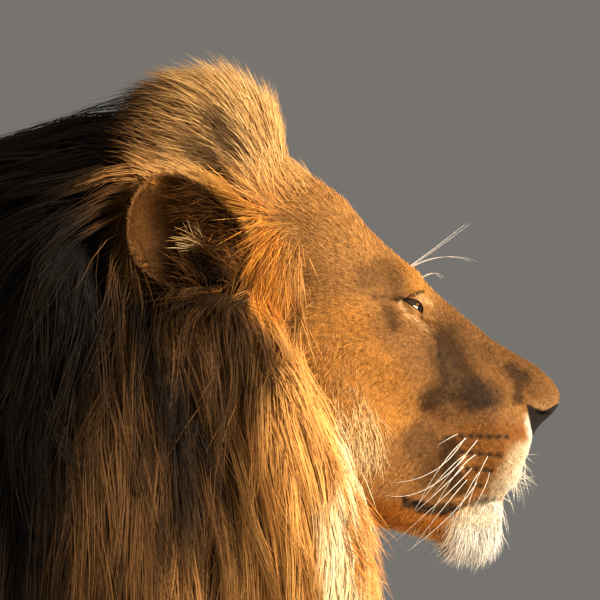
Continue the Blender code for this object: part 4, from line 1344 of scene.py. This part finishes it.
def add_lid_rims():
    """Dark rims along the lids' openings."""
    middle, along, up, _, half = lid_frame()
    centre = np.array(BALL_CENTRE)
    turns = np.linspace(0, 2 * math.pi, 57)[:-1]
    a = np.cos(turns)
    high, low = lid_edges(a)
    b = np.where(np.sin(turns) >= 0, high, low)
    points = middle + a[:, None] * half * along + b[:, None] * up
    points = centre + unit(points - centre) * (EYE_RADIUS + 0.0018)
    radii = 0.0006 + 0.0003 * (np.sin(turns) > 0) * (1 - a**2)
    vertices, faces = ring_tube(points, radii, 8)
    twin = vertices * (1, -1, 1)
    both = np.concatenate([vertices, twin]) + ORIGIN
    triangles = np.concatenate([faces, faces[:, ::-1] + len(vertices)])
    obj = fast_object("lid_rims", both, triangles)
    write_colour(obj.data, np.tile(np.array((0.02, 0.013, 0.01)), (len(both), 1)))
    obj.data.materials.append(hair_material("lid_rim", 0.5, 0.2))
    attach(obj, "root")


# ---------------------------------------------------------------- whiskers
# Each whisker and brow hair: (x, z) where it grows, (x, z) half way, (x, z) at its tip, and how far its tip
# stands out sideways.
WHISKERS = (
    ((0.0486, -0.138), (0.034, -0.141), (0.018, -0.149), 0.03),
    ((0.0594, -0.141), (0.022, -0.17), (-0.009, -0.218), 0.055),
    ((0.059, -0.1585), (0.024, -0.18), (-0.012, -0.22), 0.05),
    ((0.069, -0.1595), (0.036, -0.182), (0.006, -0.228), 0.045),
    ((0.056, -0.172), (0.022, -0.195), (-0.01, -0.221), 0.05),
    ((0.065, -0.1735), (0.022, -0.206), (-0.03, -0.25), 0.06),
    ((0.075, -0.1755), (0.05, -0.201), (0.03, -0.245), 0.04),
    ((0.083, -0.178), (0.066, -0.203), (0.04, -0.24), 0.035),
    ((0.06, -0.186), (0.026, -0.214), (-0.012, -0.26), 0.05),
    ((0.07, -0.189), (0.03, -0.226), (-0.02, -0.264), 0.055),
    ((0.058, -0.139), (0.014, -0.176), (-0.036, -0.188), 0.06),
    ((0.072, -0.1415), (0.04, -0.17), (0.008, -0.206), 0.04),
    ((0.06, -0.1585), (0.004, -0.196), (-0.042, -0.201), 0.06),
    ((0.082, -0.16), (0.06, -0.19), (0.046, -0.23), 0.03),
    ((0.001, 0.045), (0.03, 0.064), (0.064, 0.09), 0.014),
    ((0.001, 0.043), (0.034, 0.052), (0.069, 0.047), 0.016),
    ((0.016, 0.033), (0.025, 0.0345), (0.034, 0.028), 0.008),
)


def whiskers(tree):
    """The whiskers and brow hairs of both sides, as one strand set."""
    stations = 11
    t = np.linspace(0, 1, stations)[:, None]
    spines = []
    for start, middle, end, out in WHISKERS:
        root = side_point(tree, *start)
        root[1] -= 0.002
        bend = np.array((middle[0], root[1] + 0.62 * out, middle[1]))
        tip = np.array((end[0], root[1] + out, end[1]))
        control = 2 * bend - (root + tip) / 2
        line = root * (1 - t) ** 2 + 2 * control * t * (1 - t) + tip * t**2
        spines += [line, line * (1, -1, 1)]
    spine = np.array(spines)
    n = len(spine)
    taper = 1 - 0.75 * np.linspace(0, 1, stations)[:-1] ** 1.5
    width = 0.00042 * np.tile(taper, (n, 1))
    colour = np.tile(np.array((0.92, 0.88, 0.8)), (n, stations, 1))
    facing = np.tile((0.4, 0.0, 0.9), (n, stations, 1))
    return spine, np.tile((0.3, 0.5, 0.8), (n, 1)), width, width, colour, facing


# ---------------------------------------------------------------- the rest of the long hair
def hair_width(size, count, stations):
    """Half widths of count hairs at their rings: each hair has its own, and grows thinner to its tip."""
    taper = np.linspace(0, 1, stations)[:-1][None]
    return size * rng.uniform(0.7, 1.3, (count, 1)) * (1 - 0.8 * taper**1.8)


def fringe(surface, count, weight, flow, length_at, size, colour_at, stations=5, stand=0.35, droop=0.0,
           depth=0.003, spread=0.25):
    """Single longer hairs that stand off the surface and bend along the flow.

    flow, length_at and colour_at are functions of points; stand is how far the hairs rise, droop how far
    their tips sink, depth how deep the roots lie, and spread how far they turn from the flow.
    """
    roots, normals = surface.sample(count, weight)
    ahead = turned(laid(flow(roots), normals), normals, rng.normal(0, spread, count))
    length = length_at(roots) * rng.uniform(0.55, 1.2, count)
    share = np.linspace(0, 1, stations)[None, :, None]
    lift = np.clip(rng.normal(stand, 0.12, count), 0.05, 1.2)[:, None, None]
    path = ahead[:, None] * share + normals[:, None] * lift * (share - 0.35 * share**2)
    path = path + np.array((0, 0, -droop)) * share**2
    spine = roots[:, None] - normals[:, None] * depth + path * length[:, None, None]
    width = hair_width(size, count, stations)
    colour = colour_at(np.repeat(roots, stations, 0)).reshape(count, stations, 3)
    colour = colour * np.clip(rng.normal(1.0, 0.15, (count, 1, 1)), 0.4, 1.6) * (0.7 + 0.45 * share)
    facing = unit(normals[:, None] + 0.18 * rng.normal(0, 1, (count, 1, 3)))
    return spine, np.cross(normals, ahead), width, width * 0.6, colour, np.repeat(facing, stations, 1)


def constant(colour):
    return lambda p: np.tile(np.array(colour, float), (len(p), 1))


def along(*direction):
    return lambda p: np.tile(unit(np.array(direction, float)), (len(p), 1))


# ---------------------------------------------------------------- the picture's view and light
def add_camera():
    bpy.context.scene.view_settings.view_transform = "Standard"
    data = bpy.data.cameras.new("camera")
    data.sensor_width = SENSOR
    data.lens = SENSOR * CAMERA_DISTANCE / CAMERA_SPAN
    data.clip_end = 100
    camera = linked("camera", data)
    azimuth, elevation = math.radians(CAMERA_AZIMUTH), math.radians(CAMERA_ELEVATION)
    flat = math.cos(elevation)
    towards = Vector((math.sin(azimuth) * flat, -math.cos(azimuth) * flat, math.sin(elevation)))
    camera.location = EYE_LINE + CAMERA_AIM + towards * CAMERA_DISTANCE
    camera.rotation_euler = (-towards).to_track_quat("-Z", "Y").to_euler()
    bpy.context.scene.camera = camera


def add_light(name, place_at, aim, size, power, colour):
    data = bpy.data.lights.new(name, "AREA")
    data.shape = "DISK"
    data.size = size
    data.energy = power
    data.color = colour
    lamp = linked(name, data)
    lamp.location = place_at
    lamp.rotation_euler = (Vector(aim) - Vector(place_at)).to_track_quat("-Z", "Y").to_euler()


def add_surroundings():
    """The floor, the even light of the studio, and the lamps."""
    half = FLOOR_HALF
    corners = [(-half, -half, 0), (half, -half, 0), (half, half, 0), (-half, half, 0)]
    floor = new_object("floor", corners, [(0, 1, 2, 3)])
    paint = bpy.data.materials.new("floor_paint")
    paint.use_nodes = True
    set_inputs(paint.node_tree.nodes["Principled BSDF"], Base_Color=FLOOR_COLOUR, Roughness=0.8)
    floor.data.materials.append(paint)
    world = bpy.data.worlds.new("studio")
    world.use_nodes = True
    set_inputs(world.node_tree.nodes["Background"], Color=WORLD_COLOUR, Strength=WORLD_STRENGTH)
    bpy.context.scene.world = world
    for light in LIGHTS:
        add_light(*light)


# ---------------------------------------------------------------- the lion
def blend_of(points, node, reach):
    return ease(reach, 0.0, distance_to_node(points + ORIGIN, node))


def paint_skin(skin, leather):
    """The coat's own colours on the skin, with painted shade under the mane and the face's fur, and leather
    where it is bare.
    """
    signed = vertices_of(skin.data) - ORIGIN
    p = mirrored(signed)
    edges = edges_of(skin.data)
    owner = nearest_nodes(signed + ORIGIN)
    mane = relaxed(np.char.startswith(owner, "neck").astype(float), edges, 3)
    mane = mix(mane[:, None], relaxed(mane, edges, 40)[:, None], ease(-0.4, -0.5, p[:, 0]))[:, 0]
    head = blend_of(signed, "head", 0.03)
    jaw = blend_of(signed, "lower_jaw", 0.02)
    tuft = blend_of(signed, "tail_tuft", 0.04)
    colour = body_colour(p)
    light, dark, _ = mane_zones(p)
    short = short_mane(p)[:, None]
    # Painted shade: the skin under the mane is darkened, less under the crown's short hair.
    colour = mix(colour, (0.16 + 0.3 * short) * light + 0.25 * dark, mane)
    # Painted shade: the head's skin is darker than the fur that stands on it.
    colour = mix(colour, GROUND_SHADE * face_colour(p), np.maximum(head, jaw) * ease(-0.19, -0.15, p[:, 0]))
    colour = mix(colour, BLACK_BROWN_AND_SHADE, tuft)
    colour = mix(colour, LEATHER, leather)
    write_colour(skin.data, colour)
    write_bare(skin.data, leather)


def main():
    add_camera()
    add_surroundings()
    outside = envelope()
    skin = skin_mesh(outside)
    refine_head(skin)
    shape_profile(skin)
    leather = leather_on(skin)
    shape_lids(skin)
    shape_folds(skin)
    ground = Surface(skin.data)
    shell = Surface(outside.data)
    ears = [ear_cup(1), ear_cup(-1)]
    paint_skin(skin, leather)
    for ear in ears:
        write_colour(ear.data, ear_colour(vertices_of(ear.data) - ORIGIN))
        write_bare(ear.data, np.zeros(len(ear.data.vertices)))
    whole = joined("lion_skin", [skin.data, ears[0].data, ears[1].data])
    for obj in (skin, outside, *ears):
        bpy.data.objects.remove(obj)
    for polygon in whole.data.polygons:
        polygon.use_smooth = True
    whole.data.materials.append(skin_material())
    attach(whole, "root")
    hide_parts(*FLESH)
    add_eye(1)
    add_eye(-1)
    add_lid_rims()
    long_hair = hair_material("long_hair", 0.55, 0.12)
    short_hair = hair_material("short_hair", 0.65, 0.34)
    add_mane(shell, ground, long_hair)
    add_face_fur(ground, leather, short_hair)
    add_body_fur(ground, short_hair)
    add_details(ground, long_hair, short_hair)


def mane_borders(shell, ground):
    """The single hairs at the mane's borders, in the order they grow.

    By name: surface, weight, count, flow, length, half width, colour, and what else fringe() is told.
    """
    p, q = ground.centres, shell.centres
    owner = nearest_nodes(p + ORIGIN)
    from_edge = seen(p)[:, 0] - edge_at(FRONT_EDGE, p[:, 2])
    hairline = ease(0.04, 0.008, from_edge) * ease(-0.05, -0.01, from_edge) * (owner == "head")
    hairline = hairline * ease(-0.19, -0.15, p[:, 2]) * (1 + 4.5 * ease(0.09, 0.14, p[:, 2]))
    brow = ease(0.024, 0.01, from_edge) * hairline * ease(0.105, 0.125, p[:, 2])
    crown = short_mane(p) * ease(0.006, -0.002, from_edge) * ~in_ear(p, 0.98)
    ring = in_ear(p, 1.6) & ~in_ear(p, 0.85) & (p[:, 0] < -0.16) & (p[:, 2] < 0.07)
    temple = close_to(p, RUST_LINE, 0.02, 0.01) + close_to(p, EAR_FRONT, 0.016, 0.008)
    flap = close_to(q, FLAP_LINE, 0.018, 0.01) * (np.abs(q[:, 1]) > 0.05)
    throat = close_to(q, THROAT_LINE, 0.02, 0.008) * (np.abs(q[:, 1]) > 0.03)
    return {
        "near_ear": (ground, ring, 1100, mane_flow, constant_length(0.085), 0.0005, mane_ground_colour,
                     {"stand": 0.32, "depth": 0.004}),
        "temple": (ground, temple, 900, mane_flow, constant_length(0.07), 0.0005, temple_colour,
                   {"stand": 0.25, "depth": 0.004}),
        "flap": (shell, flap, 800, mane_flow, constant_length(0.034), 0.00045, flap_colour,
                 {"stations": 4, "stand": 0.1, "depth": 0.01, "spread": 0.15}),
        "edge": (ground, hairline, 1700, edge_flow, hairline_length, 0.00055, edge_colour,
                 {"stations": 4, "stand": 0.2}),
        "brow": (ground, brow, 300, edge_flow, constant_length(0.028), 0.0005, edge_colour,
                 {"stations": 4, "stand": 0.75, "spread": 0.18}),
        "crown": (ground, crown, 4000, mane_flow, crown_length, 0.00055, crown_colour,
                  {"stations": 4, "stand": 0.36, "spread": 0.18}),
        "throat": (shell, throat, 420, along(0.62, 0, -0.78), constant_length(0.062), 0.0005, throat_colour,
                   {"stations": 4, "stand": 0.22, "depth": 0.008, "spread": 0.3}),
    }


def add_mane(shell, ground, material):
    """The mane of each side: fine and broad locks, loose hairs, and the hairs at its borders."""
    fine = mane_weight(shell, True)
    broad = mane_weight(shell, False)
    borders = mane_borders(shell, ground)
    for side, name in SIDES.items():
        here = shell.centres[:, 1] * side > 0
        first = comb(shell, *FINE_LOCKS, fine * here, 0.00045, 5)
        second = comb(shell, *OVER_LOCKS, fine * here, 0.00038, 5, scale=0.8)
        loose = flyaways(shell, LOOSE_HAIRS, fine * here, 5)
        locks = comb(shell, *BROAD_LOCKS, broad * here, 0.0013, 5, loose=1.3)
        hairs = {}
        for border, (surface, weight, count, *how, more) in borders.items():
            beside = surface.centres[:, 1] * side > 0
            hairs[border] = fringe(surface, count, weight * beside, *how, **more)
        back = [locks, hairs["near_ear"], hairs["edge"], hairs["throat"]]
        crown = [hairs["crown"], hairs["brow"], hairs["flap"], hairs["temple"]]
        for piece, parts, softness in (("mane_", [first], 0.75), ("mane_over_", [second, loose], 0.7),
                                       ("mane_back_", back, 0.6), ("mane_crown_", crown, 0.7)):
            add_coat(piece + name, parts, "x", material, softness=softness)


def crown_length(p):
    return 0.034 + 0.018 * ease(0.12, 0.2, p[:, 2])


def crown_colour(p):
    """Colour of the short hair of the crown: golden, streaked, with the odd dark tuft."""
    return mane_colour(p, np.clip(rng.random(len(p) // 4).repeat(4), 0, 1))


def flap_colour(p):
    """Colour of the bright short fur that folds over the ear's upper edge."""
    return mix((0.98, 0.43, 0.085), mane_colour(p, np.full(len(p), 0.9)), ease(-0.19, -0.25, p[:, 0]))


def throat_colour(p):
    """Colour of the spiky hair that sweeps forward under the cheek."""
    return mix((0.58, 0.21, 0.035), (0.88, 0.5, 0.17), rng.random(len(p) // 4).repeat(4) ** 2)


def temple_colour(p):
    return mane_colour(p, rng.random(len(p)))


def hairline_length(p):
    return 0.022 + 0.02 * ease(0.07, 0.14, p[:, 2]) + 0.01 * ease(0.125, 0.15, p[:, 2])


def constant_length(length):
    return lambda p: np.full(len(p), length)


def mane_ground_colour(p):
    """Colour of the hair round the ears, which lies in the shade of the mane."""
    return 0.5 * mane_colour(p, rng.random(len(p)))


def edge_colour(p):
    """Colour of the hair where the face turns into the mane."""
    return mix(head_fur_colour(p), mane_colour(p, np.full(len(p), 0.9)), np.full(len(p), 0.7))


def edge_flow(p):
    """Lie of the hair where the face turns into the mane: half way between the two."""
    return unit(fur_flow(p) + mane_flow(p))


CHEEK_HAIRS, FACE_TUFTS, BODY_TUFTS = 1500, 26000, 28000  # the first two for one side
# The line of the cheek's longer fur: (x, z) in side view.
CHEEK_LINE = ((-0.105, 0.0), (-0.085, -0.06), (-0.066, -0.11), (-0.055, -0.14))


def cheek_flow(p):
    return unit(fur_flow(p) * 0.4 + mane_flow(p) + np.array((0.35, 0, -0.2)))


def cheek_length(p):
    return 0.016 + 0.016 * ease(-0.02, -0.12, p[:, 2])


def cheek_colour(p):
    """Colour of the cheek's longer fur, paler at its lower end."""
    pale = close_to(p, RUFF_LINE, 0.04, 0.01)
    return mix(head_fur_colour(p), (0.88, 0.59, 0.28), 0.12 + 0.75 * pale)


def face_fur_length(p):
    return flow_at(p, FUR_FLOW)[1]


def head_fur_colour(p):
    return face_colour(mirrored(p))


def add_face_fur(ground, leather, material):
    """The short fur of the head, and the cheeks' longer fur; none on the leather and between the lids."""
    p = ground.centres
    head = ease(-0.19, -0.15, p[:, 0]) * ease(-0.3, -0.27, p[:, 2])
    bare = leather[ground.triangles].max(axis=1) > 0.3
    middle, along_lids, up, _, half = lid_frame()
    local = mirrored(p) - middle
    at_lids = np.hypot(local @ along_lids / (half + 0.0035), local @ up / 0.0085) < 1
    weight = head * ~bare * ~at_lids
    weight = weight * (1 + 0.8 * ease(0.0, 0.08, p[:, 0]))
    on_cheek = close_to(p, CHEEK_LINE, 0.034, 0.016) * (np.abs(p[:, 1]) > 0.03)
    for side, name in SIDES.items():
        here = p[:, 1] * side > 0
        cheek = fringe(ground, CHEEK_HAIRS, on_cheek * here, cheek_flow, cheek_length, 0.00045, cheek_colour,
                       stations=3, stand=0.2, depth=0.002)
        fur = spikes(ground, FACE_TUFTS, weight * here, fur_flow, face_fur_length, 0.00042, head_fur_colour)
        add_coat("face_fur_" + name, [fur, cheek], "x", material, softness=0.95)


def body_fur_length(p):
    return 0.01 + 0.012 * ease(0.1, 0.5, p[:, 2] + EYE_LINE.z)


def body_fur_colour(p):
    return body_colour(mirrored(p))


def add_body_fur(ground, material):
    """Small tufts over the body, legs and tail."""
    p = ground.centres
    mane = distance_to_node(p + ORIGIN, "neck_mane") < 0.04
    tuft = distance_to_node(p + ORIGIN, "tail_tuft") < 0.02
    height = p[:, 2] + EYE_LINE.z
    weight = ease(-0.1, -0.2, p[:, 0]) * ~mane * ~tuft * ease(0.008, 0.02, height)
    fur = spikes(ground, BODY_TUFTS, weight, body_flow, body_fur_length, 0.0007, body_fur_colour, rise=0.11,
                 speck=0.88, vary=0.1, root=0.92, tip_glow=1.1)
    add_coat("body_fur", [fur], "x", material, softness=0.95)


def chin_flow(p):
    forward = ease(0.03, 0.1, p[:, 0])[:, None]
    return unit(np.array((-0.45, 0, -0.9)) * (1 - forward) + np.array((0.42, 0, -0.9)) * forward)


def chin_length(p):
    return 0.012 + 0.022 * ease(0.02, 0.06, p[:, 0]) * ease(-0.205, -0.25, p[:, 2])


def chin_colour(p):
    return mix(head_fur_colour(p), (1.0, 0.93, 0.82), 0.85 * ease(0.03, 0.055, p[:, 0]))


def add_details(ground, long_hair, short_hair):
    """The chin's beard, the lips' bristles, the ears' hair, the whiskers and the tail's brush."""
    p = ground.centres
    x, z = p[:, 0], p[:, 2]
    chin = ease(0.03, 0.06, x) * ease(-0.205, -0.225, z) * ease(-0.3, -0.28, z)
    beard = fringe(ground, 1800, chin, chin_flow, chin_length, 0.00055, chin_colour, stand=0.22, droop=0.2)
    lips = ease(0.08, 0.105, x) * ease(-0.15, -0.165, z) * ease(-0.265, -0.25, z)
    bristles = fringe(ground, 80, lips, along(0.8, 0, -0.6), constant_length(0.026), 0.00032,
                      constant((0.95, 0.86, 0.7)), stand=0.75, droop=0.2, spread=0.4)
    jaw = ease(0.035, 0.015, x) * ease(-0.03, 0.0, x) * ease(-0.225, -0.238, z)
    fuzz = fringe(ground, 500, jaw, along(-0.25, 0, -0.97), constant_length(0.014), 0.0004,
                  constant((0.62, 0.4, 0.17)), stand=0.25, droop=0.25)
    add_coat("chin_hair", [beard, bristles, fuzz], "x", long_hair)
    for side in (1, -1):
        add_coat("ear_fur_" + SIDES[side], ear_fur(side), "x", short_hair, softness=0.9)
        add_coat("ear_tufts_" + SIDES[side], ear_tufts(side), "x", long_hair)
    world_tree = tree_of(ground.co + ORIGIN, ground.triangles)
    add_coat("whiskers", [whiskers(world_tree)], "x", long_hair, softness=0.0)
    tail = ease(0.02, 0.008, distance_to_node(p + ORIGIN, "tail_tuft"))
    brush = fringe(ground, 900, tail, along(-0.05, 0, -1), constant_length(0.075), 0.0016, constant(BLACK_BROWN_AND_SHADE),
                   stations=7, stand=0.22, droop=0.3)
    add_coat("tail_brush", [brush], "z", long_hair)


# The ear's short fur: count, from and to which share of the way out, whether inside, how much of its lie is
# along the ear, outward and random, then length, half width, stations and lift. The last row is the rim.
EAR_FUR = (
    (3400, 0.15, 1.0, False, 1.0, 0.5, 0.25, 0.01, 0.00055, 2, 0.25),
    (3600, 0.25, 0.98, True, 0.8, 0.5, 0.25, 0.009, 0.00045, 2, 0.2),
    (1500, 0.96, 1.0, True, 0.55, 0.7, 0.3, 0.006, 0.0004, 3, 0.15),
)
RIM_SHARE = 0.9
FAN_HAIRS = 44


def ear_scatter(count, low, high, inner, turns=(0, 2 * math.pi)):
    """Random places on the left ear from low to high of the way out: points, normals, ways out, turns."""
    def lift_at(share):
        return EAR_CUP * (share**2.3 - 1) + (EAR_WALL if inner else 0.0)

    share = np.sqrt(rng.uniform(low**2, high**2, count))
    turn = rng.uniform(*turns, count)
    points = ear_point(share, turn, lift_at(share))
    outward = unit(ear_point(share + 0.02, turn, lift_at(share + 0.02)) - points)
    spin = unit(ear_point(share, turn + 0.02, lift_at(share)) - points)
    facing = unit(np.cross(outward, spin))
    facing = facing * np.sign(facing @ EAR_FACING)[:, None] * (1 if inner else -1)
    return points, facing, outward, turn


def ear_strands(side, points, facing, ahead, length, size, colour, stations, lift, droop=0.0):
    """Strands from points of the left ear, as one strand set for the ear of either side."""
    count = len(points)
    flip = np.array((1, side, 1))
    share = np.linspace(0, 1, stations)[None, :, None]
    length = (length * rng.uniform(0.6, 1.25, count))[:, None, None]
    path = unit(ahead)[:, None] * share + facing[:, None] * lift * (share - 0.3 * share**2)
    path = path + np.array((0, 0, -droop)) * share**2
    spine = (points - facing * 0.001)[:, None] + path * length
    width = hair_width(size, count, stations)
    shade = np.clip(rng.normal(1.0, 0.18, (count, 1, 1)), 0.4, 1.7) * (0.75 + 0.4 * share)
    tint = np.repeat(colour[:, None], stations, 1) * shade
    skin = np.repeat((facing * flip)[:, None], stations, 1)
    return spine * flip, np.cross(facing, ahead) * flip, width, width * 0.6, tint, skin


def ear_fur(side):
    """The short fur of the ear's back and inside, and the golden fur of its rim."""
    parts = []
    for count, low, high, inner, forward, outwards, loose, *how in EAR_FUR:
        points, facing, outward, turn = ear_scatter(count, low, high, inner)
        ahead = unit(forward * EAR_ALONG + outwards * outward + loose * rng.normal(0, 1, (count, 3)))
        if low > RIM_SHARE:
            colour = mix(BROWN, SHADE, ease(-0.2, 0.6, np.sin(turn)))
        else:
            colour = ear_colour(points if inner else points + facing * 0.003)
        length, size, stations, lift = how
        parts.append(ear_strands(side, points, facing, ahead, length, size, colour, stations, lift))
    return parts


def ear_tufts(side):
    """Brown hair that fills the ear's front, hair that falls from its lower edge, and a pale fan."""
    count = 850
    points, facing, _, _ = ear_scatter(count, 0.45, 1.0, True, (0.62 * math.pi, 1.62 * math.pi))
    ahead = unit(0.9 * EAR_ALONG + 0.35 * EAR_FACING + 0.3 * rng.normal(0, 1, (count, 3)))
    brown = mix((0.1, 0.04, 0.011), (0.46, 0.2, 0.05), rng.random(count) ** 3)
    # Painted shade: the brown hair darker where it lies over the ear's hollow.
    brown = brown * (1 - 0.9 * ear_hollow_shade(points + 0.012 * ahead))[:, None]
    parts = [ear_strands(side, points, facing, ahead, 0.03, 0.00055, brown, 5, 0.55, 0.15)]
    count = 520
    points, facing, _, _ = ear_scatter(count, 0.8, 1.0, False, (0.18 * math.pi, 1.05 * math.pi))
    ahead = unit(np.array((0.05, 0.1, -1.0)) + 0.12 * rng.normal(0, 1, (count, 3)))
    fall = mix((0.035, 0.018, 0.008), (0.16, 0.07, 0.02), rng.random(count) ** 2)
    parts.append(ear_strands(side, points, facing, ahead, 0.075, 0.00055, fall, 5, 0.15, 0.1))
    points, facing, _, _ = ear_scatter(1500, 0.1, 0.75, True)
    local = points - EAR_ROOT
    fan_root = np.hypot(local @ EAR_ALONG - 0.044, local @ EAR_DOWN + 0.002) < 0.011
    points, facing = points[fan_root][:FAN_HAIRS], facing[fan_root][:FAN_HAIRS]
    count = len(points)
    fan = rng.uniform(-0.5, 0.7, (count, 1))
    ahead = unit(EAR_ALONG + fan * EAR_DOWN + 0.35 * EAR_FACING + 0.1 * rng.normal(0, 1, (count, 3)))
    pale = mix((0.85, 0.44, 0.12), (0.95, 0.68, 0.36), rng.random(count))
    parts.append(ear_strands(side, points, facing, ahead, 0.04, 0.00042, pale, 6, 0.4, 0.1))
    return parts


main()
